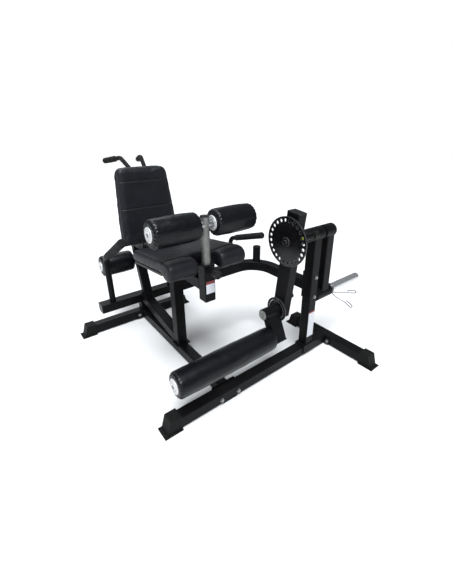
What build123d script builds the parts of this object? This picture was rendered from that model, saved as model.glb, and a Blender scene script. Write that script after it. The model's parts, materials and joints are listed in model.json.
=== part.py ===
"""Plate-loaded seated leg extension and leg curl machine.

Stations are taken from the seat's centre plane (X), from the machine's layout line (Y) and
from the floor (Z). Every finished piece is moved by ORIGIN_SHIFT, which puts the origin on
the floor under the middle of the whole machine. +X points to the weight side, -Y to the front.
"""

import os
from math import atan2, cos, degrees, pi, radians, sin

from build123d import *

# Frame tube
TUBE = 60.0
WALL = 3.0
TUBE_CORNER = 5.0
PLATE = 6.0
ORIGIN_SHIFT = (-317.0, -116.0, 0.0)

# Base frame
FOOT = 7.0
BASE_Z = FOOT + TUBE / 2
BASE_TOP = FOOT + TUBE
CROSS_Y = -296.0
CROSS_LEFT = -330.0
RAIL_X = 800.0
RAIL_FRONT = -624.0
RAIL_REAR = -34.0
REAR_Y = 732.0
REAR_LEFT = -411.0
REAR_RIGHT = 317.0

# Side upright and main pivot, whose axis runs along X over the crossbar
SIDE_X = 606.0
PIVOT_Y = CROSS_Y
PIVOT_Z = 767.0
HOUSING_RADIUS = 38.0
HOUSING = (480.0, 652.0)
SHAFT_RADIUS = 15.0
RUN = 0.05
DISC = (381.0, 387.0)
DISC_RADIUS = 129.0
INDEX_RING = 110.0
INDEX_HOLES = 24
INDEX_HOLE_RADIUS = 8.5
INDEX_PIN_RADIUS = 7.5
INDEX_PIN_ANGLE = 23.0

# Swing arm, leaning so that its foot is behind the pivot
ARM = (398.0, 458.0)
ARM_DEPTH = 80.0
ARM_TOP = 147.0
ARM_LENGTH = 413.0
ARM_TAIL = 42.0
ARM_LEAN = degrees(atan2(0.12, 1.0))

# Ankle arm and its roller
ANKLE_Y = PIVOT_Y + ARM_LENGTH * sin(radians(ARM_LEAN))
ANKLE_Z = PIVOT_Z - ARM_LENGTH * cos(radians(ARM_LEAN))
ANKLE_ARM = (300.0, 385.0)
ANKLE_HUB = (285.0, 385.0)
ANKLE_HUB_RADIUS = 31.5
ANKLE_DISC = (385.0, 391.0)
ANKLE_RING = 56.0
LOW_ROLLER_Y = -300.0
LOW_ROLLER_Z = 236.0
LOW_ROLLER = (-288.0, 297.0)
ROLLER_RADIUS = 64.5
AXLE_RADIUS = 12.5
AXLE_RUN = 0.1

# Weight side
WEIGHT_HUB = (668.0, 755.0)
WEIGHT_ARM_X = 715.0
BOSS_Z = 380.0
BOSS = (646.0, 778.0)
SLEEVE_RADIUS = 25.0
SLEEVE_END = 1085.0
STUB_RADIUS = 22.0
GROOVE = (880.0, 882.0)

# Seat frame
POST_Y = 184.0
SEAT_RAIL_Z = 590.0
SEAT_RAIL_FRONT = -117.0
SEAT_RAIL_REAR = 785.0
BRACE_START = (214.0, 100.0)
BRACE_END = (691.0, 182.0)
REAR_BEAM_Y = 731.0
REAR_BEAM_Z = 167.0
REAR_BEAM_HALF = 299.0
OUTRIGGER_Z = 458.0
OUTRIGGER_BEND = 160.0
REAR_ROLLER_Y = 824.0
REAR_ROLLER_Z = 424.0
REAR_ROLLER_RADIUS = 72.0
REAR_ROLLER = (16.0, 232.0)
REAR_ARM_HALF = 12.0

# Thigh rollers and their post
THIGH_Y = -147.0
THIGH_Z = 890.5
THIGH_POST_RADIUS = 21.0
THIGH_POST_WALL = 2.5
THIGH_POST_Z = (520.0, 926.0)
THIGH_SLEEVE_Z = (511.0, 700.0)
THIGH_ROLLER = (42.0, 267.0)
THIGH_PIN_Z = 673.0
THIGH_PIN_RADIUS = 6.0
THIGH_STEP = 25.0
THIGH_STEPS = 5

# Seat pad: its top falls to the rear
SEAT_HALF = 219.0
SEAT_REAR = 237.0
SEAT_TOP = 736.0
SEAT_SLOPE = -0.12
SEAT_THICK = 62.0
ROLL_Y = -150.0
ROLL_RADIUS = 50.0
NOTCH_HALF = 60.0
NOTCH_BACK = -112.0
BOARD = 12.0

# Backrest: a local frame with its origin at the foot of the pad's front face
BACK_LEAN = 7.0
BACK_FOOT = (0.0, 432.85, 650.0)
BACK_HEIGHT = 455.0
BACK_THICK = 57.0
BACK_POST = 50.0
BACK_HINGE_UP = 15.0
BACK_HINGE_DEEP = 94.0
BARREL_RADIUS = 16.0
BARREL_HALF = 38.0
CHEEK_HALF = 22.0
HINGE_PIN_RADIUS = 8.0
SECTOR_RADIUS = 62.0
SECTOR_RING = 52.0

# Fasteners
BOLT_RADIUS = 5.0
BOLT_HOLE = 5.3
HEAD_RADIUS = 9.0
HEAD_HEIGHT = 6.5

AXIS_PLANES = {
    "X": lambda at, c: Plane(origin=(at, c[0], c[1]), x_dir=(0, 1, 0), z_dir=(1, 0, 0)),
    "Y": lambda at, c: Plane(origin=(c[0], at, c[1]), x_dir=(1, 0, 0), z_dir=(0, 1, 0)),
    "Z": lambda at, c: Plane(origin=(c[0], c[1], at), x_dir=(1, 0, 0), z_dir=(0, 0, 1)),
}


# ---------------------------------------------------------------- shapes used inside a part


def block(x, y, z, mode=Mode.ADD):
    """A box between two stations, low and high, on each axis."""
    spans = (x, y, z)
    middle = tuple((low + high) / 2 for low, high in spans)
    size = [high - low for low, high in spans]
    with Locations(middle):
        Box(*size, mode=mode)


def rod(axis, start, end, centre, radius, mode=Mode.ADD):
    """A round bar along an axis; centre holds its other two stations in order."""
    with BuildSketch(AXIS_PLANES[axis](start, centre)) as outline:
        Circle(radius)
    extrude(outline.sketch, amount=end - start, mode=mode)


def hexagon(axis, start, end, centre, radius):
    """A hexagonal head or nut along an axis."""
    with BuildSketch(AXIS_PLANES[axis](start, centre)) as outline:
        RegularPolygon(radius, 6)
    extrude(outline.sketch, amount=end - start)


def box_section(plane, length, wide, tall, wall=WALL, mode=Mode.ADD):
    """A hollow rectangular tube that starts on a plane and runs along its normal."""
    with BuildSketch(plane) as outline:
        RectangleRounded(wide, tall, TUBE_CORNER)
        RectangleRounded(wide - 2 * wall, tall - 2 * wall, TUBE_CORNER - wall + 0.5, mode=Mode.SUBTRACT)
    extrude(outline.sketch, amount=length, mode=mode)


def box_core(plane, length, wide, tall, mode=Mode.ADD):
    """A solid rectangular bar with rounded corners, along a plane's normal."""
    with BuildSketch(plane) as outline:
        RectangleRounded(wide, tall, TUBE_CORNER)
    extrude(outline.sketch, amount=length, mode=mode)


def side_profile(points, x_low, x_high, mode=Mode.ADD):
    """A polygon drawn in the side view, as (Y, Z) points, and drawn out along X."""
    with BuildSketch(Plane(origin=(x_low, 0, 0), x_dir=(0, 1, 0), z_dir=(1, 0, 0))) as outline:
        with BuildLine():
            Polyline(*points, close=True)
        make_face()
    extrude(outline.sketch, amount=x_high - x_low, mode=mode)


def group(*pieces):
    """Several pieces of one body kept as separate solids in one node."""
    return Compound(children=[solid for piece in pieces for solid in piece.solids()])


def holes_for(bolts, radius=BOLT_HOLE):
    """Clearance holes for bolts given as (axis, head station, tip station, centre)."""
    for axis, head, tip, centre in bolts:
        rod(axis, min(head, tip) - 20, max(head, tip) + 20, centre, radius, Mode.SUBTRACT)


# ---------------------------------------------------------------- bolted joints of the frame

UPRIGHT_FRONT = CROSS_Y - TUBE / 2
UPRIGHT_REAR = CROSS_Y + TUBE / 2
SADDLE_FRONT = UPRIGHT_FRONT - PLATE
OUTRIGGER_FACE = UPRIGHT_REAR + PLATE
REAR_FRONT = REAR_Y - TUBE / 2
REAR_BACK = REAR_Y + TUBE / 2
SPINE_END = REAR_FRONT - PLATE
RAIL_LEFT = RAIL_X - TUBE / 2
RAIL_RIGHT = RAIL_X + TUBE / 2
CROSS_END = RAIL_LEFT - PLATE

BOLT_LINE = 31.0
SPINE_BOLT_HALF = 53.0
TAIL_BOLT_HALF = 56.0
RAIL_BOLT_HALF = 52.0

ARM_BOLTS = [("Y", UPRIGHT_FRONT, OUTRIGGER_FACE, (612.0, z)) for z in (393.0, 515.0)]
SPINE_BOLTS = [
    ("Y", UPRIGHT_FRONT, OUTRIGGER_FACE, (x, BOLT_LINE)) for x in (-SPINE_BOLT_HALF, SPINE_BOLT_HALF)
]
TAIL_BOLTS = [("Y", SPINE_END, REAR_BACK, (x, BASE_Z)) for x in (-TAIL_BOLT_HALF, TAIL_BOLT_HALF)]
RAIL_BOLTS = [
    ("X", CROSS_END, RAIL_RIGHT, (y, BOLT_LINE))
    for y in (CROSS_Y - RAIL_BOLT_HALF, CROSS_Y + RAIL_BOLT_HALF)
]
FLANGE_BOLTS = SPINE_BOLTS + TAIL_BOLTS + RAIL_BOLTS
FRAME_BOLTS = ARM_BOLTS + FLANGE_BOLTS


# ---------------------------------------------------------------- base frame


def front_crossbar():
    """Tube across the front, from the left foot to the right rail's flange."""
    with BuildPart() as crossbar:
        plane = AXIS_PLANES["X"](CROSS_LEFT, (CROSS_Y, BASE_Z))
        box_section(plane, CROSS_END - CROSS_LEFT, TUBE, TUBE)
        holes_for(SPINE_BOLTS)
    return crossbar.part


def right_rail():
    """Long foot on the weight side, front to rear."""
    with BuildPart() as rail:
        plane = AXIS_PLANES["Y"](RAIL_FRONT, (RAIL_X, BASE_Z))
        box_section(plane, RAIL_REAR - RAIL_FRONT, TUBE, TUBE)
        holes_for(RAIL_BOLTS)
    return rail.part


def rear_stabilizer():
    """Tube across the rear."""
    with BuildPart() as stabilizer:
        plane = AXIS_PLANES["X"](REAR_LEFT, (REAR_Y, BASE_Z))
        box_section(plane, REAR_RIGHT - REAR_LEFT, TUBE, TUBE)
        holes_for(TAIL_BOLTS)
    return stabilizer.part


def main_spine():
    """Tube from the crossbar's flange to the rear flange."""
    with BuildPart() as spine:
        plane = AXIS_PLANES["Y"](OUTRIGGER_FACE, (0, BASE_Z))
        box_section(plane, SPINE_END - OUTRIGGER_FACE, TUBE, TUBE)
    return spine.part


def frame_brackets():
    """Five plates: spine flanges front and tail, rail flange, upright saddle, post foot."""
    with BuildPart() as brackets:
        block((-70, 70), (UPRIGHT_REAR, OUTRIGGER_FACE), (FOOT - 1, BASE_TOP + 3))
        block((-43, 43), (UPRIGHT_FRONT, UPRIGHT_REAR), (FOOT - 5, FOOT))
        block((-75, 75), (SPINE_END, REAR_FRONT), (12, 64))
        block((CROSS_END, RAIL_LEFT), (CROSS_Y - 66, CROSS_Y + 66), (10, 62))
        block((556, 656), (SADDLE_FRONT, OUTRIGGER_FACE), (BASE_TOP, BASE_TOP + PLATE))
        block((556, 656), (SADDLE_FRONT, UPRIGHT_FRONT), (22, BASE_TOP))
        block((556, 656), (UPRIGHT_REAR, OUTRIGGER_FACE), (22, BASE_TOP))
        block((-45, 45), (POST_Y - 41, POST_Y + 30), (BASE_TOP, BASE_TOP + PLATE))
        holes_for(FLANGE_BOLTS)
    return brackets.part


CAP_TOP = BASE_TOP + 8.0
CAP_SOLE = 5.0
CAP_HALF = TUBE / 2 + 3.0
CAP_INNER = -52.0
CAP_OUTER_TOP = 4.0
CAP_OUTER_FOOT = 24.0
SOLE_OUTER = 40.0
SOLE_HALF = 40.0


def foot_cap(along, end, across, outward):
    """One rubber foot: a cap with a sloping end face over a tube's end, on a wider flat sole."""
    if along == "X":
        side = Plane(origin=(end, across, 0), x_dir=(outward, 0, 0), z_dir=(0, -outward, 0))
    else:
        side = Plane(origin=(across, end, 0), x_dir=(0, outward, 0), z_dir=(outward, 0, 0))
    with BuildPart() as cap:
        with BuildSketch(side) as body:
            with BuildLine():
                Polyline(
                    (CAP_INNER, CAP_SOLE),
                    (CAP_OUTER_FOOT, CAP_SOLE),
                    (CAP_OUTER_TOP, CAP_TOP),
                    (CAP_INNER, CAP_TOP),
                    close=True,
                )
            make_face()
        extrude(body.sketch, amount=CAP_HALF, both=True)
        with BuildSketch(side) as sole:
            with Locations(((CAP_INNER + SOLE_OUTER) / 2, CAP_SOLE / 2)):
                Rectangle(SOLE_OUTER - CAP_INNER, CAP_SOLE)
        extrude(sole.sketch, amount=SOLE_HALF, both=True)
        plane = AXIS_PLANES[along](end, (across, BASE_Z))
        box_core(plane, outward * 2 * CAP_INNER, TUBE, TUBE, Mode.SUBTRACT)
    return cap.part


def foot_caps():
    """Five rubber feet on the open ends of the base tubes."""
    return group(
        foot_cap("X", CROSS_LEFT, CROSS_Y, -1),
        foot_cap("X", REAR_LEFT, REAR_Y, -1),
        foot_cap("X", REAR_RIGHT, REAR_Y, 1),
        foot_cap("Y", RAIL_FRONT, RAIL_X, -1),
        foot_cap("Y", RAIL_REAR, RAIL_X, 1),
    )


# ---------------------------------------------------------------- side upright and pivot


def side_upright():
    """Vertical tube that carries the pivot housing, coped to fit round it."""
    with BuildPart() as upright:
        plane = AXIS_PLANES["Z"](BASE_TOP + PLATE, (SIDE_X, CROSS_Y))
        box_section(plane, PIVOT_Z - BASE_TOP - PLATE, TUBE, TUBE)
        rod("X", HOUSING[0], HOUSING[1], (PIVOT_Y, PIVOT_Z), HOUSING_RADIUS, Mode.SUBTRACT)
        holes_for(ARM_BOLTS)
    return upright.part


def pivot_housing():
    """Thick tube that holds the two bearings."""
    with BuildPart() as housing:
        centre = (PIVOT_Y, PIVOT_Z)
        rod("X", *HOUSING, centre, HOUSING_RADIUS)
        rod("X", *HOUSING, centre, 27.0, Mode.SUBTRACT)
        rod("X", HOUSING[0], HOUSING[0] + 20, centre, 31.0, Mode.SUBTRACT)
        rod("X", HOUSING[1] - 20, HOUSING[1], centre, 31.0, Mode.SUBTRACT)
    return housing.part


def pivot_bearings():
    """Two bearing rings in the ends of the housing."""
    with BuildPart() as bearings:
        for low in (HOUSING[0] + 2, HOUSING[1] - 20):
            rod("X", low, low + 18, (PIVOT_Y, PIVOT_Z), 31.0)
        rod("X", HOUSING[0], HOUSING[1], (PIVOT_Y, PIVOT_Z), SHAFT_RADIUS + RUN, Mode.SUBTRACT)
    return bearings.part


def pivot_shaft():
    """Main shaft from the index disc, through the arm and housing, to the weight hub."""
    with BuildPart() as shaft:
        rod("X", DISC[0], WEIGHT_HUB[1] - 10, (PIVOT_Y, PIVOT_Z), SHAFT_RADIUS)
    return shaft.part


def shaft_collars():
    """Rings that space the swing arm and keep the shaft from sliding."""
    centre = (PIVOT_Y, PIVOT_Z)
    with BuildPart() as collars:
        rod("X", DISC[1], ARM[0] - 1, centre, 24.0)
        rod("X", ARM[1] + 1, HOUSING[0] - 1, centre, 24.0)
        rod("X", HOUSING[1] + 1, WEIGHT_HUB[0], centre, 24.0)
        rod("X", DISC[0], WEIGHT_HUB[0], centre, SHAFT_RADIUS, Mode.SUBTRACT)
    return collars.part


def index_disc():
    """Plate fixed to the shaft, with a ring of holes that set the swing arm's start."""
    centre = (PIVOT_Y, PIVOT_Z)
    with BuildPart() as disc:
        rod("X", *DISC, centre, DISC_RADIUS)
        rod("X", *DISC, centre, SHAFT_RADIUS, Mode.SUBTRACT)
        for number in range(INDEX_HOLES):
            turn = radians(180 - INDEX_PIN_ANGLE + 360 / INDEX_HOLES * number)
            spot = (PIVOT_Y + INDEX_RING * cos(turn), PIVOT_Z + INDEX_RING * sin(turn))
            rod("X", *DISC, spot, INDEX_HOLE_RADIUS, Mode.SUBTRACT)
    return disc.part


def disc_hub():
    """Cap washer and screw head that hold the index disc on the shaft's end."""
    centre = (PIVOT_Y, PIVOT_Z)
    with BuildPart() as hub:
        rod("X", DISC[0] - 5, DISC[0], centre, 22.0)
        hexagon("X", DISC[0] - 12, DISC[0] - 5, centre, 11.0)
    return hub.part


# ---------------------------------------------------------------- swing arm


def arm_point(down, forward=0.0):
    """(Y, Z) at a distance down the swing arm from the pivot and forward of its centre line."""
    lean = radians(ARM_LEAN)
    y = PIVOT_Y + down * sin(lean) - forward * cos(lean)
    z = PIVOT_Z - down * cos(lean) - forward * sin(lean)
    return y, z


def arm_plane(down):
    """Plane across the swing arm, with its normal pointing up the arm."""
    y, z = arm_point(down)
    lean = radians(ARM_LEAN)
    middle = (ARM[0] + ARM[1]) / 2
    return Plane(origin=(middle, y, z), x_dir=(1, 0, 0), z_dir=(0, -sin(lean), cos(lean)))


INDEX_PIN = (
    PIVOT_Y - INDEX_RING * cos(radians(INDEX_PIN_ANGLE)),
    PIVOT_Z + INDEX_RING * sin(radians(INDEX_PIN_ANGLE)),
)
ANKLE_PIN = arm_point(ARM_LENGTH - ANKLE_RING)


def swing_arm():
    """Leaning tube with sleeves for the pivot, the ankle shaft and the ankle pin."""
    with BuildPart() as arm:
        whole = ARM_LENGTH + ARM_TAIL
        box_section(arm_plane(whole), ARM_TOP + whole, ARM[1] - ARM[0], ARM_DEPTH)
        rod("X", *ARM, (PIVOT_Y, PIVOT_Z), 26.0)
        rod("X", *ARM, (ANKLE_Y, ANKLE_Z), 20.0)
        rod("X", *ARM, ANKLE_PIN, 9.0)
        rod("X", *ARM, (PIVOT_Y, PIVOT_Z), 20.0, Mode.SUBTRACT)
        rod("X", *ARM, (ANKLE_Y, ANKLE_Z), AXLE_RADIUS, Mode.SUBTRACT)
        rod("X", *ARM, ANKLE_PIN, 5.1, Mode.SUBTRACT)
    return arm.part


def swing_arm_caps():
    """Plastic plugs that close the swing arm's two ends."""
    with BuildPart() as caps:
        for down, outward in ((-ARM_TOP, 1), (ARM_LENGTH + ARM_TAIL, -1)):
            box_core(arm_plane(down), 4.0 * outward, ARM[1] - ARM[0], ARM_DEPTH)
            box_core(arm_plane(down), -12.0 * outward, ARM[1] - ARM[0] - 2 * WALL, ARM_DEPTH - 2 * WALL)
    return caps.part


def arm_bushes():
    """Two bronze bushes between the swing arm and the main shaft."""
    with BuildPart() as bushes:
        for low in (ARM[0], ARM[1] - 22):
            rod("X", low, low + 22, (PIVOT_Y, PIVOT_Z), 20.0)
        rod("X", *ARM, (PIVOT_Y, PIVOT_Z), SHAFT_RADIUS + RUN, Mode.SUBTRACT)
    return bushes.part


def index_pin_bracket():
    """Lug on the arm's front face with the index pin's guide tube."""
    half = ARM_DEPTH / 2
    near = [arm_point(-(INDEX_PIN[1] - PIVOT_Z) + s, half) for s in (-22.0, 22.0)]
    lug = [near[0], near[1], (INDEX_PIN[0], INDEX_PIN[1] - 11), (INDEX_PIN[0], INDEX_PIN[1] + 11)]
    with BuildPart() as bracket:
        side_profile(lug, 404, 446)
        rod("X", 396, 452, INDEX_PIN, 15.0)
        rod("X", 390, 460, INDEX_PIN, INDEX_PIN_RADIUS + 0.1, Mode.SUBTRACT)
    return bracket.part


def index_pin():
    """Spring pin drawn back just clear of the disc, so that the arm is free to turn."""
    with BuildPart() as pin:
        rod("X", DISC[1] + 0.5, 470, INDEX_PIN, INDEX_PIN_RADIUS)
    return pin.part


def pull_knob(axis, start, end, centre, radius, shank):
    """Ribbed knob on the end of a pull pin."""
    step = 1 if end > start else -1
    with BuildPart() as knob:
        rod(axis, start, end, centre, radius - 1.5)
        rod(axis, start, start + 4 * step, centre, radius)
        rod(axis, end - 6 * step, end, centre, radius)
        for number in range(12):
            turn = 2 * pi * number / 12
            rib = (centre[0] + (radius - 2) * cos(turn), centre[1] + (radius - 2) * sin(turn))
            rod(axis, start, end, rib, 2.0)
        rod(axis, start, start + 10 * step, centre, shank, Mode.SUBTRACT)
        rod(axis, end - 3 * step, end, centre, radius - 4.5, Mode.SUBTRACT)
        with BuildSketch(AXIS_PLANES[axis](end - 3 * step, centre)) as grip_bar:
            Rectangle(2 * radius - 8, 5.5, rotation=40)
        extrude(grip_bar.sketch, amount=3 * step)
    return knob.part


# ---------------------------------------------------------------- ankle arm

ANKLE_TURN = atan2(ANKLE_Y - LOW_ROLLER_Y, ANKLE_Z - LOW_ROLLER_Z)
ANKLE_LENGTH = ((ANKLE_Y - LOW_ROLLER_Y) ** 2 + (ANKLE_Z - LOW_ROLLER_Z) ** 2) ** 0.5


def ankle_plane(down):
    """Plane across the ankle arm, with its normal pointing up towards the ankle shaft."""
    y = ANKLE_Y - down * sin(ANKLE_TURN)
    z = ANKLE_Z - down * cos(ANKLE_TURN)
    middle = (ANKLE_ARM[0] + ANKLE_ARM[1]) / 2
    return Plane(origin=(middle, y, z), x_dir=(1, 0, 0), z_dir=(0, sin(ANKLE_TURN), cos(ANKLE_TURN)))


def ankle_shaft():
    """Shaft fixed in the swing arm's foot, with the shoulder that keeps the ankle hub on."""
    centre = (ANKLE_Y, ANKLE_Z)
    with BuildPart() as shaft:
        rod("X", ANKLE_HUB[0] - 1, ARM[1] + 3, centre, AXLE_RADIUS)
        rod("X", ANKLE_DISC[1] + 1, ARM[0], centre, 18.0)
    return shaft.part


def ankle_end_cap():
    """Plated ring and screw on the inner end of the ankle shaft."""
    centre = (ANKLE_Y, ANKLE_Z)
    with BuildPart() as cap:
        rod("X", ANKLE_HUB[0] - 5, ANKLE_HUB[0] - 1, centre, 27.0)
        hexagon("X", ANKLE_HUB[0] - 11, ANKLE_HUB[0] - 5, centre, HEAD_RADIUS)
    return cap.part


def ankle_hub():
    """Tube that turns on the ankle shaft."""
    centre = (ANKLE_Y, ANKLE_Z)
    with BuildPart() as hub:
        rod("X", *ANKLE_HUB, centre, ANKLE_HUB_RADIUS)
        rod("X", *ANKLE_HUB, centre, 20.0, Mode.SUBTRACT)
    return hub.part


def ankle_bushes():
    """Two bushes in the ankle hub."""
    with BuildPart() as bushes:
        for low in (ANKLE_HUB[0], ANKLE_HUB[1] - 22):
            rod("X", low, low + 22, (ANKLE_Y, ANKLE_Z), 20.0)
        rod("X", *ANKLE_HUB, (ANKLE_Y, ANKLE_Z), AXLE_RADIUS + AXLE_RUN, Mode.SUBTRACT)
    return bushes.part


def ankle_disc():
    """Small index plate on the ankle hub."""
    centre = (ANKLE_Y, ANKLE_Z)
    with BuildPart() as disc:
        rod("X", *ANKLE_DISC, centre, 70.0)
        rod("X", *ANKLE_DISC, centre, AXLE_RADIUS + AXLE_RUN, Mode.SUBTRACT)
        for number in range(INDEX_HOLES):
            turn = radians(90 + ARM_LEAN + 360 / INDEX_HOLES * number)
            spot = (ANKLE_Y + ANKLE_RING * cos(turn), ANKLE_Z + ANKLE_RING * sin(turn))
            rod("X", *ANKLE_DISC, spot, 5.1, Mode.SUBTRACT)
    return disc.part


def ankle_arm():
    """Rectangular tube from the ankle hub down past the roller axle."""
    with BuildPart() as arm:
        wide = ANKLE_ARM[1] - ANKLE_ARM[0]
        box_section(ankle_plane(ANKLE_LENGTH + 34), ANKLE_LENGTH + 34, wide, 52)
        rod("X", *ANKLE_HUB, (ANKLE_Y, ANKLE_Z), ANKLE_HUB_RADIUS, Mode.SUBTRACT)
        rod("X", *ANKLE_ARM, (LOW_ROLLER_Y, LOW_ROLLER_Z), 18.0)
        rod("X", *ANKLE_ARM, (LOW_ROLLER_Y, LOW_ROLLER_Z), AXLE_RADIUS, Mode.SUBTRACT)
    return arm.part


def ankle_arm_cap():
    """Plastic plug in the lower end of the ankle arm."""
    with BuildPart() as cap:
        wide = ANKLE_ARM[1] - ANKLE_ARM[0]
        box_core(ankle_plane(ANKLE_LENGTH + 34), -6.0, wide + 3, 55)
        box_core(ankle_plane(ANKLE_LENGTH + 34), 12.0, wide - 2 * WALL, 52 - 2 * WALL)
    return cap.part


def ankle_pin():
    """Spring pin through the swing arm, drawn back just clear of the ankle disc."""
    with BuildPart() as pin:
        rod("X", ANKLE_DISC[1] + 0.5, 480, ANKLE_PIN, 5.0)
    return pin.part


def lower_axle():
    """Axle from the ankle arm through the whole lower roller."""
    centre = (LOW_ROLLER_Y, LOW_ROLLER_Z)
    with BuildPart() as axle:
        rod("X", LOW_ROLLER[0] + 6, ANKLE_ARM[1], centre, AXLE_RADIUS)
        rod("X", LOW_ROLLER[1] + 0.5, ANKLE_ARM[0], centre, 18.0)
        hexagon("X", ANKLE_ARM[1], ANKLE_ARM[1] + HEAD_HEIGHT - 1, centre, HEAD_RADIUS + 3)
    return axle.part


def roller(start, end, centre, radius):
    """Padded roller with soft end edges and a bore that runs on its axle."""
    with BuildPart() as foam:
        rod("X", start, end, centre, radius)
        fillet(foam.edges().filter_by(GeomType.CIRCLE), 8.0)
        rod("X", start, end, centre, AXLE_RADIUS + AXLE_RUN, Mode.SUBTRACT)
    return foam.part


def end_disc(start, end, centre, radius):
    """Plated or moulded end disc with a raised middle that turns with its roller."""
    step = 1 if end > start else -1
    with BuildPart() as disc:
        rod("X", start, end, centre, radius)
        rod("X", end, end + 3 * step, centre, radius * 0.42)
    return disc.part


# ---------------------------------------------------------------- weight side


def weight_hub():
    """Tube keyed to the outer end of the shaft, closed at its end."""
    centre = (PIVOT_Y, PIVOT_Z)
    with BuildPart() as hub:
        rod("X", *WEIGHT_HUB, centre, HOUSING_RADIUS)
        fillet(hub.edges().filter_by(GeomType.CIRCLE).sort_by(Axis.X)[-1], 10.0)
        rod("X", WEIGHT_HUB[0], WEIGHT_HUB[1] - 10, centre, SHAFT_RADIUS, Mode.SUBTRACT)
    return hub.part


def weight_arm():
    """Tube that hangs from the hub to the boss, coped at both ends."""
    with BuildPart() as arm:
        plane = AXIS_PLANES["Z"](BOSS_Z, (WEIGHT_ARM_X, CROSS_Y))
        box_section(plane, PIVOT_Z - BOSS_Z, TUBE, TUBE)
        rod("X", *WEIGHT_HUB, (PIVOT_Y, PIVOT_Z), HOUSING_RADIUS, Mode.SUBTRACT)
        rod("X", *BOSS, (PIVOT_Y, BOSS_Z), HOUSING_RADIUS, Mode.SUBTRACT)
    return arm.part


def weight_gusset():
    """Triangular web between the hub and the arm's outer face."""
    face = WEIGHT_ARM_X + TUBE / 2
    with BuildPart() as gusset:
        with BuildSketch(Plane(origin=(0, CROSS_Y - 4, 0), x_dir=(1, 0, 0), z_dir=(0, -1, 0))) as outline:
            with BuildLine():
                Polyline((face, 735), (face + 30, 735), (face + 30, 716), (face, 664), close=True)
            make_face()
        extrude(outline.sketch, amount=-8)
        rod("X", WEIGHT_HUB[0], WEIGHT_HUB[1] + 60, (PIVOT_Y, PIVOT_Z), HOUSING_RADIUS, Mode.SUBTRACT)
    return gusset.part


def weight_boss():
    """Round cross boss that holds the weight sleeve."""
    centre = (PIVOT_Y, BOSS_Z)
    with BuildPart() as boss:
        rod("X", *BOSS, centre, HOUSING_RADIUS)
        rod("X", BOSS[0] + 8, BOSS[1], centre, STUB_RADIUS, Mode.SUBTRACT)
    return boss.part


def arm_bumper():
    """Rubber pad on the boss's inner end, beside the upright."""
    with BuildPart() as bumper:
        rod("X", BOSS[0] - 7, BOSS[0], (PIVOT_Y, BOSS_Z), 34.0)
        fillet(bumper.edges().filter_by(GeomType.CIRCLE).sort_by(Axis.X)[0], 4.0)
    return bumper.part


def weight_sleeve():
    """Plated sleeve that the weight plates slide onto."""
    centre = (PIVOT_Y, BOSS_Z)
    with BuildPart() as sleeve:
        rod("X", BOSS[0] + 8, BOSS[1], centre, STUB_RADIUS)
        rod("X", BOSS[1], GROOVE[0], centre, SLEEVE_RADIUS)
        rod("X", *GROOVE, centre, SLEEVE_RADIUS - 0.5)
        rod("X", GROOVE[1], SLEEVE_END, centre, SLEEVE_RADIUS)
        chamfer(sleeve.edges().filter_by(GeomType.CIRCLE).sort_by(Axis.X)[-1], 2.0)
    return sleeve.part


CLIP_WIRE = 2.8
CLIP_SPAN = (BOSS[1] + 8, BOSS[1] + 30)
CLIP_TIPS = {CLIP_SPAN[0] + 4: (830.0, -441.0, 292.0), CLIP_SPAN[1] - 4: (880.0, -431.0, 373.0)}
CLIP_LOOP = 52.0
CLIP_LOOP_WIDE = 15.0
CLIP_FACING = (0.58, 0.72, -0.38)


def clip_handle(station, tip):
    """One wire handle: from the coil's underside to its tip, folded back into a long loop."""
    ring = SLEEVE_RADIUS + CLIP_WIRE
    start = Vector(station, PIVOT_Y - 0.35 * ring, BOSS_Z - 0.94 * ring)
    end = Vector(*tip)
    along = (end - start).normalized()
    elbow = start + Vector(0.0, -0.35, -0.94) * 14
    side = along.cross(Vector(*CLIP_FACING)).normalized()
    fold = end + side * CLIP_LOOP_WIDE
    back = fold - along * CLIP_LOOP
    with BuildPart() as handle:
        with BuildLine() as route:
            FilletPolyline(start, elbow, end, fold, back, radius=6.0)
        with BuildSketch(Plane(origin=route.line @ 0, z_dir=route.line % 0)) as section:
            Circle(CLIP_WIRE)
        sweep(section.sketch, path=route.line)
    return handle.part


def spring_collar():
    """Wire spring clip on the sleeve: its coils as one ring, and two looped handles."""
    inner = SLEEVE_RADIUS + 0.4
    handles = [clip_handle(station, tip) for station, tip in CLIP_TIPS.items()]
    with BuildPart() as clip:
        rod("X", *CLIP_SPAN, (PIVOT_Y, BOSS_Z), inner + 2 * CLIP_WIRE)
        for handle in handles:
            add(handle)
        rod("X", BOSS[0], SLEEVE_END, (PIVOT_Y, BOSS_Z), inner, Mode.SUBTRACT)
    return clip.part


# ---------------------------------------------------------------- seat frame


def seat_post():
    """Upright tube under the seat."""
    with BuildPart() as post:
        plane = AXIS_PLANES["Z"](BASE_TOP + PLATE, (0, POST_Y))
        box_section(plane, SEAT_RAIL_Z - TUBE / 2 - BASE_TOP - PLATE, TUBE, TUBE)
    return post.part


def seat_rail():
    """Tube along the seat's centre line that carries the seat, sleeve and backrest."""
    with BuildPart() as rail:
        plane = AXIS_PLANES["Y"](SEAT_RAIL_FRONT, (0, SEAT_RAIL_Z))
        box_section(plane, SEAT_RAIL_REAR - SEAT_RAIL_FRONT, TUBE, TUBE)
    return rail.part


def sloped_plane(start, end, x=0.0):
    """Plane at start, with its normal pointing to end, both as (Y, Z)."""
    return Plane(origin=(x, *start), x_dir=(1, 0, 0), z_dir=(0, end[0] - start[0], end[1] - start[1]))


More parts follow.
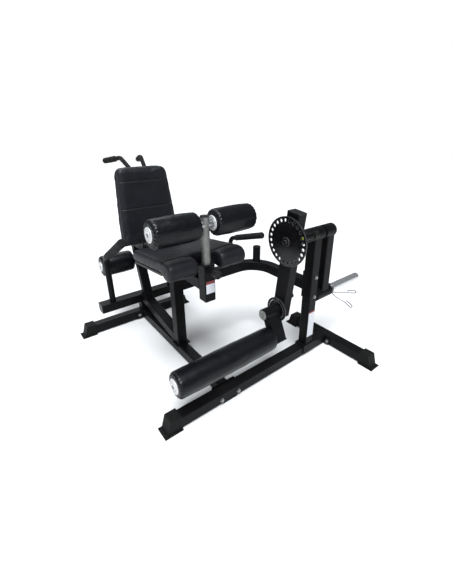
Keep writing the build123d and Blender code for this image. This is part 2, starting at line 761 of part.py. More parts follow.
def rear_brace():
    """Rising tube from the foot of the seat post to the rear beam, cut square to both."""
    rise = (BRACE_END[1] - BRACE_START[1]) / (BRACE_END[0] - BRACE_START[0])
    start = (BRACE_START[0] - 40, BRACE_START[1] - 40 * rise)
    end = (BRACE_END[0] + 40, BRACE_END[1] + 40 * rise)
    length = ((end[0] - start[0]) ** 2 + (end[1] - start[1]) ** 2) ** 0.5
    with BuildPart() as brace:
        box_section(sloped_plane(start, end), length, TUBE, TUBE)
        block((-40, 40), (0, BRACE_START[0]), (0, 300), Mode.SUBTRACT)
        block((-40, 40), (BRACE_END[0], BRACE_END[0] + 100), (0, 400), Mode.SUBTRACT)
    return brace.part


def rear_beam():
    """Wide tube over the rear stabilizer, on the end of the brace."""
    with BuildPart() as beam:
        plane = AXIS_PLANES["X"](-REAR_BEAM_HALF, (REAR_BEAM_Y, REAR_BEAM_Z))
        box_section(plane, 2 * REAR_BEAM_HALF, 80, TUBE)
    return beam.part


def beam_stand():
    """Short tube between the rear stabilizer and the rear beam."""
    with BuildPart() as stand:
        plane = AXIS_PLANES["Z"](BASE_TOP, (0, REAR_Y))
        box_section(plane, REAR_BEAM_Z - TUBE / 2 - BASE_TOP, TUBE, TUBE)
    return stand.part


def rear_post():
    """Tube that leans back from the brace to the seat rail."""
    rise = (BRACE_END[1] - BRACE_START[1]) / (BRACE_END[0] - BRACE_START[0])
    with BuildPart() as post:
        box_section(sloped_plane((624, 174), (741, 560)), 440, TUBE, 46)
        block((-40, 40), (600, 900), (SEAT_RAIL_Z - TUBE / 2, 800), Mode.SUBTRACT)
        brace_top = BRACE_START[1] + TUBE / 2 * (1 + rise**2) ** 0.5
        below = [(500, 0), (900, 0), (900, brace_top + 686 * rise), (500, brace_top + 286 * rise)]
        side_profile(below, -40, 40, Mode.SUBTRACT)
    return post.part


def rear_axle():
    """Axle of the two rear rollers, and the short arm that holds it behind the rear post."""
    near = 720.0
    with BuildPart() as axle:
        block((-REAR_ARM_HALF, REAR_ARM_HALF), (near, REAR_ROLLER_Y + 22), (REAR_ROLLER_Z - 22, REAR_ROLLER_Z + 22))
        lean = (741 - 624) / (560 - 174)
        half = 23 * (1 + lean**2) ** 0.5
        face = [(624 + (z - 174) * lean + half, z) for z in (380, 480)]
        past_face = [(near - 60, 380), face[0], face[1], (near - 60, 480)]
        side_profile(past_face, -40, 40, Mode.SUBTRACT)
        rod("X", -REAR_ROLLER[1] + 4, REAR_ROLLER[1] - 4, (REAR_ROLLER_Y, REAR_ROLLER_Z), AXLE_RADIUS)
        for side in (-1, 1):
            near_end, far_end = side * REAR_ARM_HALF, side * (REAR_ROLLER[0] - 0.5)
            rod("X", min(near_end, far_end), max(near_end, far_end), (REAR_ROLLER_Y, REAR_ROLLER_Z), 18.0)
    return axle.part


def beam_plugs():
    """Plastic plugs in the open ends of the rear beam and the seat rail."""
    with BuildPart() as plugs:
        for side in (-1, 1):
            plane = AXIS_PLANES["X"](side * REAR_BEAM_HALF, (REAR_BEAM_Y, REAR_BEAM_Z))
            box_core(plane, 4.0 * side, 80, TUBE)
            box_core(plane, -12.0 * side, 80 - 2 * WALL, TUBE - 2 * WALL)
        plane = AXIS_PLANES["Y"](SEAT_RAIL_REAR, (0, SEAT_RAIL_Z))
        box_core(plane, 4.0, TUBE, TUBE)
        box_core(plane, -12.0, TUBE - 2 * WALL, TUBE - 2 * WALL)
    return plugs.part


def outrigger_arm():
    """Curved tube that ties the seat post to the side upright."""
    with BuildPart() as arm:
        with BuildLine() as route:
            FilletPolyline(
                (TUBE / 2, POST_Y, OUTRIGGER_Z),
                (SIDE_X, POST_Y, OUTRIGGER_Z),
                (SIDE_X, OUTRIGGER_FACE, OUTRIGGER_Z),
                radius=OUTRIGGER_BEND,
            )
        with BuildSketch(AXIS_PLANES["X"](TUBE / 2, (POST_Y, OUTRIGGER_Z))) as section:
            RectangleRounded(TUBE, TUBE, TUBE_CORNER)
            RectangleRounded(TUBE - 2 * WALL, TUBE - 2 * WALL, TUBE_CORNER - WALL + 0.5, mode=Mode.SUBTRACT)
        sweep(section.sketch, path=route.line)
    return arm.part


def outrigger_flange():
    """Plate that bolts the curved arm to the back of the upright."""
    with BuildPart() as flange:
        block((SIDE_X - 30, SIDE_X + 30), (UPRIGHT_REAR, OUTRIGGER_FACE), (383, 545))
        holes_for(ARM_BOLTS)
    return flange.part


def storage_peg():
    """Short upright tube on the curved arm, with a closed top."""
    top = OUTRIGGER_Z + TUBE / 2
    with BuildPart() as peg:
        rod("Z", top, top + 102, (566, 127), 25.0)
        fillet(peg.edges().filter_by(GeomType.CIRCLE).sort_by(Axis.Z)[-1], 3.0)
        rod("Z", top, top + 96, (566, 127), 22.0, Mode.SUBTRACT)
    return peg.part


# ---------------------------------------------------------------- handles


def bent_tube(points, bend, radius, wall):
    """Round tube along a route with one or more equal bends."""
    with BuildPart() as tube:
        with BuildLine() as route:
            FilletPolyline(*points, radius=bend)
        with BuildSketch(Plane(origin=route.line @ 0, z_dir=route.line % 0)) as section:
            Circle(radius)
            Circle(radius - wall, mode=Mode.SUBTRACT)
        sweep(section.sketch, path=route.line)
    return tube.part


def grip_on(start, end, share, inner, outer):
    """Foam grip over the last share of a straight run, closed over the tube's end."""
    run = Vector(*end) - Vector(*start)
    foot = Vector(*start) + run * (1 - share)
    length = run.length * share
    with BuildPart() as grip:
        with BuildSketch(Plane(origin=foot, z_dir=run)) as outline:
            Circle(outer)
        extrude(outline.sketch, amount=length + 6)
        fillet(grip.edges().filter_by(GeomType.CIRCLE), 5.0)
        with BuildSketch(Plane(origin=foot, z_dir=run)) as bore:
            Circle(inner)
        extrude(bore.sketch, amount=length, mode=Mode.SUBTRACT)
    return grip.part


REAR_HANDLE_RADIUS = 20.0
REAR_HANDLE_FOOT = (217.0, 729.0, REAR_BEAM_Z + TUBE / 2)
REAR_HANDLE_BEND = (217.0, 729.0, 512.0)
REAR_HANDLE_END = (240.0, 290.0, 735.0)
FRONT_HANDLE_RADIUS = 13.5
FRONT_HANDLE_FOOT = (395.0, POST_Y, OUTRIGGER_Z + TUBE / 2)
FRONT_HANDLE_BEND = (395.0, POST_Y, 664.0)
FRONT_HANDLE_END = (395.0, -100.0, 751.0)
TOP_HANDLE_RADIUS = 12.5
TOP_HANDLE_FOOT = (47.0, 572.0, 1084.0)
TOP_HANDLE_BEND = (63.0, 652.0, 1136.0)
TOP_HANDLE_END = (106.0, 802.0, 1112.0)


def mirrored(point, side):
    """The same point on the left (side -1) or right (side 1) of the seat's centre plane."""
    return (point[0] * side, point[1], point[2])


def rear_handle(side):
    """Side handle that stands on the rear beam and reaches forward beside the seat."""
    points = [mirrored(p, side) for p in (REAR_HANDLE_FOOT, REAR_HANDLE_BEND, REAR_HANDLE_END)]
    return bent_tube(points, 55.0, REAR_HANDLE_RADIUS, 2.5)


def rear_grip(side):
    """Foam grip of a rear handle."""
    ends = [mirrored(p, side) for p in (REAR_HANDLE_BEND, REAR_HANDLE_END)]
    return grip_on(*ends, 0.86, REAR_HANDLE_RADIUS, 24.0)


def pair(make):
    """Both sides of a piece as two solids of one node."""
    left, right = make(-1), make(1)
    with BuildPart() as both:
        add(left)
        add(right)
    return both.part


def top_handle(side):
    """Handle that rises behind the backrest and reaches back from its top."""
    points = [mirrored(p, side) for p in (TOP_HANDLE_FOOT, TOP_HANDLE_BEND, TOP_HANDLE_END)]
    return bent_tube(points, 40.0, TOP_HANDLE_RADIUS, 2.0)


def top_grip(side):
    """Foam grip of a top handle."""
    ends = [mirrored(p, side) for p in (TOP_HANDLE_BEND, TOP_HANDLE_END)]
    return grip_on(*ends, 0.68, TOP_HANDLE_RADIUS, 17.0)


# ---------------------------------------------------------------- thigh rollers


SLEEVE_FACE = THIGH_Y - TUBE / 2
NECK = (SLEEVE_FACE - 12, SLEEVE_FACE - 36)
THIGH_KNOB = (SLEEVE_FACE - 41, SLEEVE_FACE - 69)


def thigh_sleeve():
    """Square sleeve on the front of the seat rail, bored for the round roller post."""
    low, high = THIGH_SLEEVE_Z
    with BuildPart() as sleeve:
        with BuildSketch(AXIS_PLANES["Z"](low, (0, THIGH_Y))) as outline:
            RectangleRounded(TUBE, TUBE, TUBE_CORNER)
            Circle(THIGH_POST_RADIUS + 0.3, mode=Mode.SUBTRACT)
        extrude(outline.sketch, amount=high - low)
        rod("Y", THIGH_Y - TUBE, THIGH_Y, (0, THIGH_PIN_Z), THIGH_PIN_RADIUS + 0.1, Mode.SUBTRACT)
    return sleeve.part


def thigh_pin_neck():
    """Threaded neck that guides the sleeve's pull pin."""
    with BuildPart() as neck:
        hexagon("Y", NECK[0], SLEEVE_FACE, (0, THIGH_PIN_Z), 17.0)
        rod("Y", NECK[1], NECK[0], (0, THIGH_PIN_Z), 11.0)
        rod("Y", NECK[1], SLEEVE_FACE, (0, THIGH_PIN_Z), THIGH_PIN_RADIUS + 0.1, Mode.SUBTRACT)
    return neck.part


def thigh_pin():
    """Pull pin drawn back just clear of the post."""
    tip = THIGH_Y - THIGH_POST_RADIUS - 0.5
    with BuildPart() as pin:
        rod("Y", THIGH_KNOB[0] - 10, tip, (0, THIGH_PIN_Z), THIGH_PIN_RADIUS)
    return pin.part


def thigh_post():
    """Plated round post with a row of height holes and a cross bore for the axle."""
    low, high = THIGH_POST_Z
    centre = (0, THIGH_Y)
    with BuildPart() as post:
        rod("Z", low, high, centre, THIGH_POST_RADIUS)
        rod("Z", low, high, centre, THIGH_POST_RADIUS - THIGH_POST_WALL, Mode.SUBTRACT)
        rod("X", -THIGH_POST_RADIUS, THIGH_POST_RADIUS, (THIGH_Y, THIGH_Z), AXLE_RADIUS, Mode.SUBTRACT)
        for number in range(THIGH_STEPS):
            spot = (0, THIGH_PIN_Z - THIGH_STEP * number)
            rod("Y", THIGH_Y - TUBE, THIGH_Y, spot, THIGH_PIN_RADIUS + 0.5, Mode.SUBTRACT)
    return post.part


def thigh_post_cap():
    """Plastic plug in the top of the post."""
    top = THIGH_POST_Z[1]
    with BuildPart() as cap:
        rod("Z", top, top + 5, (0, THIGH_Y), THIGH_POST_RADIUS)
        rod("Z", top - 12, top, (0, THIGH_Y), THIGH_POST_RADIUS - THIGH_POST_WALL)
    return cap.part


def thigh_axle():
    """Axle through the post, with a spacer coped to the post on each side."""
    centre = (THIGH_Y, THIGH_Z)
    inner = THIGH_ROLLER[0] - 0.5
    with BuildPart() as axle:
        rod("X", -inner, inner, centre, 19.0)
        rod("Z", THIGH_Z - TUBE, THIGH_Z + TUBE, (0, THIGH_Y), THIGH_POST_RADIUS, Mode.SUBTRACT)
        rod("X", -THIGH_ROLLER[1] + 4, THIGH_ROLLER[1] - 4, centre, AXLE_RADIUS)
    return axle.part


# ---------------------------------------------------------------- seat


def seat_top(y):
    """Height of the seat's top surface at a station along Y."""
    return SEAT_TOP + SEAT_SLOPE * y


def seat_pad():
    """Seat cushion: a sloping slab with a padded roll in front, notched for the post."""
    front = ROLL_Y
    rise = SEAT_THICK * (1 + SEAT_SLOPE**2) ** 0.5
    outline = [
        (SEAT_REAR, seat_top(SEAT_REAR)),
        (front, seat_top(front)),
        (front, seat_top(front) - rise),
        (SEAT_REAR, seat_top(SEAT_REAR) - rise),
    ]
    with BuildPart() as pad:
        side_profile(outline, -SEAT_HALF, SEAT_HALF)
        rod("X", -SEAT_HALF, SEAT_HALF, (ROLL_Y, seat_top(ROLL_Y) - ROLL_RADIUS), ROLL_RADIUS)
        block((-NOTCH_HALF, NOTCH_HALF), (ROLL_Y - 80, NOTCH_BACK), (500, 900), Mode.SUBTRACT)
    return pad.part


def seat_board():
    """Plywood board under the seat cushion."""
    rise = SEAT_THICK * (1 + SEAT_SLOPE**2) ** 0.5
    front, rear = -92.0, SEAT_REAR - 12
    outline = [
        (rear, seat_top(rear) - rise),
        (front, seat_top(front) - rise),
        (front, seat_top(front) - rise - BOARD),
        (rear, seat_top(rear) - rise - BOARD),
    ]
    with BuildPart() as board:
        side_profile(outline, -SEAT_HALF + 14, SEAT_HALF - 14)
    return board.part


def seat_gussets():
    """Two wedge plates that carry the sloping board on the level rail."""
    drop = SEAT_THICK * (1 + SEAT_SLOPE**2) ** 0.5 + BOARD
    top = SEAT_RAIL_Z + TUBE / 2
    front, rear = -80.0, 212.0
    outline = [(front, top), (rear, top), (rear, seat_top(rear) - drop), (front, seat_top(front) - drop)]
    with BuildPart() as gussets:
        for low in (-30.0, 25.0):
            side_profile(outline, low, low + 5)
    return gussets.part


# ---------------------------------------------------------------- backrest


def back_plane(up=0.0, deep=0.0):
    """Plane parallel to the backrest's front face; its normal points out of the face."""
    lean = radians(BACK_LEAN)
    y = BACK_FOOT[1] + up * sin(lean) + deep * cos(lean)
    z = BACK_FOOT[2] + up * cos(lean) - deep * sin(lean)
    return Plane(origin=(0, y, z), x_dir=(1, 0, 0), z_dir=(0, -cos(lean), sin(lean)))


def back_cross_plane(up, deep):
    """Plane across the backrest post, with its normal pointing up the post."""
    lean = radians(BACK_LEAN)
    origin = back_plane(up, deep).origin
    return Plane(origin=origin, x_dir=(1, 0, 0), z_dir=(0, sin(lean), cos(lean)))


BACK_HINGE = (
    back_plane(BACK_HINGE_UP, BACK_HINGE_DEEP).origin.Y,
    back_plane(BACK_HINGE_UP, BACK_HINGE_DEEP).origin.Z,
)
BACK_PIN = (BACK_HINGE[0], BACK_HINGE[1] - SECTOR_RING)


def back_slab(deep, thick, shrink):
    """Backrest outline, wider at its foot, with round upper corners."""
    with BuildPart() as slab:
        with BuildSketch(back_plane(0, deep)) as outline:
            with BuildLine():
                Polyline(
                    (183 - shrink, shrink),
                    (177 - shrink, 152),
                    (154 - shrink, BACK_HEIGHT - shrink),
                    (-154 + shrink, BACK_HEIGHT - shrink),
                    (-177 + shrink, 152),
                    (-183 + shrink, shrink),
                    close=True,
                )
            make_face()
            fillet(outline.vertices().group_by(Axis.Y)[-1], 50 - shrink)
            fillet(outline.vertices().group_by(Axis.Y)[0], 14)
        extrude(outline.sketch, amount=-thick)
    return slab.part


def back_post():
    """Square tube behind the backrest, on a hinge barrel."""
    with BuildPart() as post:
        box_section(back_cross_plane(BACK_HINGE_UP, BACK_HINGE_DEEP), 430, BACK_POST, BACK_POST, 2.5)
        rod("X", -BARREL_HALF, BARREL_HALF, BACK_HINGE, BARREL_RADIUS)
        rod("X", -BARREL_HALF, BARREL_HALF, BACK_HINGE, HINGE_PIN_RADIUS + RUN, Mode.SUBTRACT)
    return post.part


def back_post_cap():
    """Plastic plug in the top of the backrest post."""
    with BuildPart() as cap:
        plane = back_cross_plane(BACK_HINGE_UP + 430, BACK_HINGE_DEEP)
        box_core(plane, 4.0, BACK_POST, BACK_POST)
        box_core(plane, -10.0, BACK_POST - 5, BACK_POST - 5)
    return cap.part


def handle_plate():
    """Flat bar across the post that the two top handles are welded to."""
    with BuildPart() as plate:
        with BuildSketch(back_plane(BACK_HINGE_UP + 395, BACK_HINGE_DEEP + 25)) as outline:
            Rectangle(150, 44)
        extrude(outline.sketch, amount=-6)
    return plate.part


def recline_sector():
    """Quarter plate on the hinge barrel with the holes that set the backrest's angle."""
    with BuildPart() as sector:
        with BuildSketch(AXIS_PLANES["X"](31, BACK_HINGE)) as outline:
            with BuildLine():
                CenterArc((0, 0), SECTOR_RADIUS, -102, 96)
                tips = [(SECTOR_RADIUS * cos(radians(a)), SECTOR_RADIUS * sin(radians(a))) for a in (-102, -6)]
                Line((0, 0), tips[0])
                Line((0, 0), tips[1])
            make_face()
        extrude(outline.sketch, amount=6)
        rod("X", 31, 37, BACK_HINGE, 24.0)
        rod("X", 31, 37, BACK_HINGE, BARREL_RADIUS, Mode.SUBTRACT)
        for number in range(6):
            turn = radians(-90 + 14 * number)
            spot = (BACK_HINGE[0] + SECTOR_RING * cos(turn), BACK_HINGE[1] + SECTOR_RING * sin(turn))
            rod("X", 31, 37, spot, 5.5, Mode.SUBTRACT)
    return sector.part


def back_cheeks():
    """Two plates on the seat rail's sides that hold the backrest's hinge pin."""
    y, z = BACK_HINGE
    depth = (y - CHEEK_HALF, y + CHEEK_HALF)
    with BuildPart() as cheeks:
        for side in (-1, 1):
            spans = sorted((side * 38.5, side * 44.5))
            block(spans, depth, (566, z))
            rod("X", *spans, BACK_HINGE, CHEEK_HALF)
            block(sorted((side * 30, side * 38.5)), depth, (566, 584))
            rod("X", *spans, BACK_HINGE, HINGE_PIN_RADIUS, Mode.SUBTRACT)
        rod("X", 38, 45, BACK_PIN, 5.1, Mode.SUBTRACT)
    return cheeks.part


def back_hinge_pin():
    """Hinge pin through both cheeks and the barrel, with a head and a nut."""
    with BuildPart() as pin:
        rod("X", -44.5, 50, BACK_HINGE, HINGE_PIN_RADIUS)
        hexagon("X", -50.5, -44.5, BACK_HINGE, 13.0)
        hexagon("X", 44.5, 52.5, BACK_HINGE, 13.0)
    return pin.part


def back_pin_neck():
    """Guide tube of the recline pin on the right cheek."""
    with BuildPart() as neck:
        rod("X", 44.5, 62, BACK_PIN, 10.0)
        rod("X", 44.5, 62, BACK_PIN, 5.1, Mode.SUBTRACT)
    return neck.part


def back_pin():
    """Recline pull pin drawn back just clear of the sector plate."""
    with BuildPart() as pin:
        rod("X", 37.5, 74, BACK_PIN, 5.0)
    return pin.part


# ---------------------------------------------------------------- fasteners and plates


def frame_bolts():
    """Hex-head bolts of the frame's joints, one solid each."""
    with BuildPart() as bolts:
        for axis, head, tip, centre in FRAME_BOLTS:
            rod(axis, head, tip + 12, centre, BOLT_RADIUS)
            rod(axis, head - 1.5, head, centre, HEAD_RADIUS + 2)
            hexagon(axis, head - 1.5 - HEAD_HEIGHT, head - 1.5, centre, HEAD_RADIUS)
    return bolts.part


def frame_nuts():
    """Nuts on the far side of the frame's joints, one solid each."""
    with BuildPart() as nuts:
        for axis, _, tip, centre in FRAME_BOLTS:
            hexagon(axis, tip, tip + 8, centre, HEAD_RADIUS)
        for axis, head, tip, centre in FRAME_BOLTS:
            rod(axis, head, tip + 12, centre, BOLT_RADIUS, Mode.SUBTRACT)
    return nuts.part


def label_plates():
    """Blank plates on the upright and on the thigh sleeve."""
    with BuildPart() as plates:
        block((SIDE_X - 26, SIDE_X + 26), (UPRIGHT_FRONT - 1, UPRIGHT_FRONT), (128, 300))
        face = THIGH_Y - TUBE / 2
        block((-24, 24), (face - 1, face), (555, 619))
    return plates.part


# ---------------------------------------------------------------- all pieces by name

LOW_CENTRE = (LOW_ROLLER_Y, LOW_ROLLER_Z)
THIGH_CENTRE = (THIGH_Y, THIGH_Z)
REAR_CENTRE = (REAR_ROLLER_Y, REAR_ROLLER_Z)
FRONT_HANDLE = (FRONT_HANDLE_FOOT, FRONT_HANDLE_BEND, FRONT_HANDLE_END)


def capped_roller(span, side, centre, radius, disc_radius):
    """Roller on one side of a post, with a disc on its outer end."""
    near, far = (side * station for station in span)
    outer = end_disc(far, far + 4 * side, centre, disc_radius)
    return group(roller(min(near, far), max(near, far), centre, radius), outer)


def front_handle():
    """Handle on the curved arm, ahead of the pivot's inner side."""
    return bent_tube(FRONT_HANDLE, 45.0, FRONT_HANDLE_RADIUS, 2.0)


def front_grip():
    """Foam grip of the front handle."""
    return grip_on(FRONT_HANDLE_BEND, FRONT_HANDLE_END, 0.8, FRONT_HANDLE_RADIUS, 18.0)


LOW_DISC = end_disc(LOW_ROLLER[0], LOW_ROLLER[0] - 4, LOW_CENTRE, 37.5)
SIDE_HANDLES = group(front_handle(), rear_handle(-1), rear_handle(1))
SIDE_GRIPS = group(front_grip(), rear_grip(-1), rear_grip(1))

PIECES = {
    "front_crossbar": front_crossbar(),
    "right_rail": right_rail(),
    "rear_stabilizer": rear_stabilizer(),
    "main_spine": main_spine(),
    "frame_brackets": group(frame_brackets(), outrigger_flange()),
    "frame_fasteners": group(frame_bolts(), frame_nuts()),
    "foot_caps": foot_caps(),
    "side_upright": side_upright(),
    "pivot_housing": pivot_housing(),
    "pivot_bearings": pivot_bearings(),
    "pivot_shaft": group(pivot_shaft(), shaft_collars()),
    "index_disc": group(index_disc(), disc_hub()),
    "swing_arm": group(swing_arm(), index_pin_bracket()),
    "swing_arm_caps": swing_arm_caps(),
    "arm_bushes": arm_bushes(),
    "index_pin": index_pin(),
    "index_knob": pull_knob("X", 460, 492, INDEX_PIN, 18.0, INDEX_PIN_RADIUS),
    "ankle_shaft": group(ankle_shaft(), ankle_end_cap()),
    "ankle_hub": group(ankle_hub(), ankle_bushes()),
    "ankle_disc": ankle_disc(),
    "ankle_arm": ankle_arm(),
    "ankle_arm_cap": ankle_arm_cap(),
    "ankle_knob": group(ankle_pin(), pull_knob("X", 470, 500, ANKLE_PIN, 16.0, 5.0)),
    "lower_axle": lower_axle(),
    "lower_roller": group(roller(*LOW_ROLLER, LOW_CENTRE, ROLLER_RADIUS), LOW_DISC),
    "weight_hub": weight_hub(),
    "weight_arm": group(weight_arm(), weight_gusset(), weight_boss()),
    "arm_bumper": arm_bumper(),
    "weight_sleeve": weight_sleeve(),
    "spring_collar": spring_collar(),
    "seat_post": seat_post(),
    "seat_rail": group(seat_rail(), seat_gussets()),
    "rear_brace": rear_brace(),
    "rear_beam": group(rear_beam(), beam_stand()),
    "rear_post": rear_post(),
    "rear_axle": rear_axle(),
    "beam_plugs": beam_plugs(),
    "outrigger_arm": outrigger_arm(),
    "storage_peg": storage_peg(),
    "side_handles": SIDE_HANDLES,
    "side_grips": SIDE_GRIPS,
    "thigh_sleeve": group(thigh_sleeve(), thigh_pin_neck()),
    "thigh_knob": group(thigh_pin(), pull_knob("Y", *THIGH_KNOB, (0, THIGH_PIN_Z), 20.0, THIGH_PIN_RADIUS)),
    "thigh_post": thigh_post(),
    "thigh_post_cap": thigh_post_cap(),
    "thigh_axle": thigh_axle(),
    "upper_roller_left": capped_roller(THIGH_ROLLER, -1, THIGH_CENTRE, ROLLER_RADIUS, 30.0),
    "upper_roller_right": capped_roller(THIGH_ROLLER, 1, THIGH_CENTRE, ROLLER_RADIUS, 30.0),
    "rear_roller_left": capped_roller(REAR_ROLLER, -1, REAR_CENTRE, REAR_ROLLER_RADIUS, 30.0),
    "rear_roller_right": capped_roller(REAR_ROLLER, 1, REAR_CENTRE, REAR_ROLLER_RADIUS, 30.0),
    "seat_pad": seat_pad(),
    "seat_board": seat_board(),
    "backrest_pad": back_slab(0.0, BACK_THICK, 0.0),
    "backrest_board": back_slab(BACK_THICK, BOARD, 14.0),
    "backrest_post": group(back_post(), handle_plate(), recline_sector()),
    "backrest_post_cap": back_post_cap(),
    "backrest_hinge": group(back_cheeks(), back_hinge_pin(), back_pin_neck()),
    "backrest_knob": group(back_pin(), pull_knob("X", 66, 92, BACK_PIN, 15.0, 5.0)),
    "top_handles": group(pair(top_handle), pair(top_grip)),
    "label_plates": label_plates(),
}


def main():
    os.makedirs("parts", exist_ok=True)
    for name, piece in PIECES.items():
        moved = piece.moved(Location(ORIGIN_SHIFT))
        moved.label = name
        export_step(moved, f"parts/{name}.step")


main()
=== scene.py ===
"""Looks of the leg curl and extension machine: padded pieces, wire clip, materials and light."""

import json
import math
import random

import bmesh
import bpy
import numpy as np
from mathutils import Euler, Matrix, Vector, noise
from mathutils.bvhtree import BVHTree


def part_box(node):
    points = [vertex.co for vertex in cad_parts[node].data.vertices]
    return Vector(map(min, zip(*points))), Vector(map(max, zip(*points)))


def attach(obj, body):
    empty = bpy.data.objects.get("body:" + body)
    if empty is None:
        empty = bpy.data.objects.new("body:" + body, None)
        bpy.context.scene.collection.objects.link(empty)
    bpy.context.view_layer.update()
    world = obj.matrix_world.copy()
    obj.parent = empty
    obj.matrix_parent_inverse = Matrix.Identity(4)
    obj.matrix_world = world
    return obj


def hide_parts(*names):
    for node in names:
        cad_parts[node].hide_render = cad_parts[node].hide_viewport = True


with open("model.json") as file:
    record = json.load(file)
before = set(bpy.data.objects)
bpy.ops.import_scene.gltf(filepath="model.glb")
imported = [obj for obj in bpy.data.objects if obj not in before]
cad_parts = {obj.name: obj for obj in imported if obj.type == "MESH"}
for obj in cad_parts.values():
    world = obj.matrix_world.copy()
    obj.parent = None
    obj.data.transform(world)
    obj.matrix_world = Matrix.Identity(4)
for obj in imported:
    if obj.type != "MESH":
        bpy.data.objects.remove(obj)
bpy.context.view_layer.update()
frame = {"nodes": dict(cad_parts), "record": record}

NODES = frame["nodes"]
SCENE = bpy.context.scene

# ---------------------------------------------------------------- camera

CAMERA_PLACE = (-1.0666, -1.4447, 1.271)
CAMERA_PITCH = 22.09
CAMERA_AZIMUTH = 38.49
CAMERA_LENS = 19.62
CAMERA_SHIFT = (-0.0201, -0.0509)


def make_camera():
    """Camera at the viewing angle of the reference, from the front on the sitter's right."""
    data = bpy.data.cameras.new("camera")
    data.lens = CAMERA_LENS
    data.sensor_width = 36.0
    data.shift_x, data.shift_y = CAMERA_SHIFT
    data.clip_start = 0.05
    data.clip_end = 60.0
    camera = bpy.data.objects.new("camera", data)
    camera.location = CAMERA_PLACE
    turn = (math.radians(90 - CAMERA_PITCH), 0, math.radians(-CAMERA_AZIMUTH))
    camera.rotation_euler = Euler(turn)
    SCENE.collection.objects.link(camera)
    SCENE.camera = camera


# ---------------------------------------------------------------- material tools


class Paint:
    """A material under construction, with short calls for the nodes that these finishes use."""

    def __init__(self, name):
        self.material = bpy.data.materials.new(name)
        self.material.use_nodes = True
        self.tree = self.material.node_tree
        self.shader = self.tree.nodes["Principled BSDF"]
        self.place = self.node("ShaderNodeTexCoord").outputs["Object"]
        self.normal = None

    def node(self, kind, **values):
        made = self.tree.nodes.new(kind)
        for key, value in values.items():
            setattr(made, key, value)
        return made

    def link(self, source, target):
        self.tree.links.new(source, target)

    def mapped(self, scale):
        """Object coordinates scaled on each axis."""
        mapping = self.node("ShaderNodeMapping")
        mapping.inputs["Scale"].default_value = scale
        self.link(self.place, mapping.inputs["Vector"])
        return mapping.outputs["Vector"]

    def noise(self, scale, detail=3.0, rough=0.5, at=None):
        """Cloudy noise, with larger scales finer."""
        made = self.node("ShaderNodeTexNoise")
        made.inputs["Scale"].default_value = scale
        made.inputs["Detail"].default_value = detail
        made.inputs["Roughness"].default_value = rough
        self.link(at or self.place, made.inputs["Vector"])
        return made.outputs["Fac"]

    def cells(self, scale, feature="F1"):
        """Distance within a pattern of small cells."""
        made = self.node("ShaderNodeTexVoronoi", feature=feature)
        made.inputs["Scale"].default_value = scale
        self.link(self.place, made.inputs["Vector"])
        return made.outputs["Distance"]

    def span(self, value, low, high, out_low, out_high):
        """Maps one range of a value onto another and clamps it."""
        made = self.node("ShaderNodeMapRange")
        limits = {"From Min": low, "From Max": high, "To Min": out_low, "To Max": out_high}
        for key, number in limits.items():
            made.inputs[key].default_value = number
        self.link(value, made.inputs["Value"])
        return made.outputs["Result"]

    def maths(self, operation, first, second):
        made = self.node("ShaderNodeMath", operation=operation)
        self.link(first, made.inputs[0])
        self.link(second, made.inputs[1])
        return made.outputs[0]

    def mix(self, share, first, second):
        """Blends two colours, or a colour and another mix, by a share."""
        made = self.node("ShaderNodeMix", data_type="RGBA")
        self.link(share, made.inputs[0])
        for value, socket in ((first, made.inputs[6]), (second, made.inputs[7])):
            if isinstance(value, tuple):
                socket.default_value = (*value, 1.0)
            else:
                self.link(value, socket)
        return made.outputs[2]

    def colour(self, value):
        self.link(value, self.shader.inputs["Base Color"])

    def rough(self, value):
        self.link(value, self.shader.inputs["Roughness"])

    def bump(self, height, depth, strength=1.0):
        """Adds a bump of a depth in metres on top of any that is there."""
        made = self.node("ShaderNodeBump")
        made.inputs["Distance"].default_value = depth
        made.inputs["Strength"].default_value = strength
        self.link(height, made.inputs["Height"])
        if self.normal:
            self.link(self.normal, made.inputs["Normal"])
        self.normal = made.outputs["Normal"]
        self.link(self.normal, self.shader.inputs["Normal"])

    def edges(self, radius):
        """How near a point is to a sharp edge, 0 to 1."""
        round_off = self.node("ShaderNodeBevel")
        round_off.samples = 6
        round_off.inputs["Radius"].default_value = radius
        flat = self.node("ShaderNodeNewGeometry")
        dot = self.node("ShaderNodeVectorMath", operation="DOT_PRODUCT")
        self.link(round_off.outputs["Normal"], dot.inputs[0])
        self.link(flat.outputs["Normal"], dot.inputs[1])
        return self.span(dot.outputs["Value"], 0.995, 0.8, 0.0, 1.0)

    def set(self, **values):
        """Constant values on the shader's own sockets."""
        for key, value in values.items():
            self.shader.inputs[key.replace("_", " ")].default_value = value
        return self


def powder_coat(name, rough, gloss, edge_highlight_colour):
    """Satin black powder coat: fine orange peel, faint dust, and a painted highlight that lightens the
    edges.
    """
    paint = Paint(name)
    cloud = paint.noise(7.0, 4.0, 0.6)
    share = paint.span(cloud, 0.35, 0.7, 0, 1)
    base = paint.mix(share, (0.0020, 0.0020, 0.0023), (0.0045, 0.0045, 0.0050))
    # Painted highlight: every sharp edge is mixed toward a lighter colour, standing in for light catching
    # the edges.
    edge_highlight = paint.edges(0.0022)
    paint.colour(paint.mix(paint.span(edge_highlight, 0, 1, 0, 0.7), base, edge_highlight_colour))
    paint.rough(paint.span(paint.noise(45.0, 3.0), 0.3, 0.7, *rough))
    paint.bump(paint.noise(1300.0, 2.0), 0.00012, 0.4)
    return paint.set(Specular_IOR_Level=gloss).material


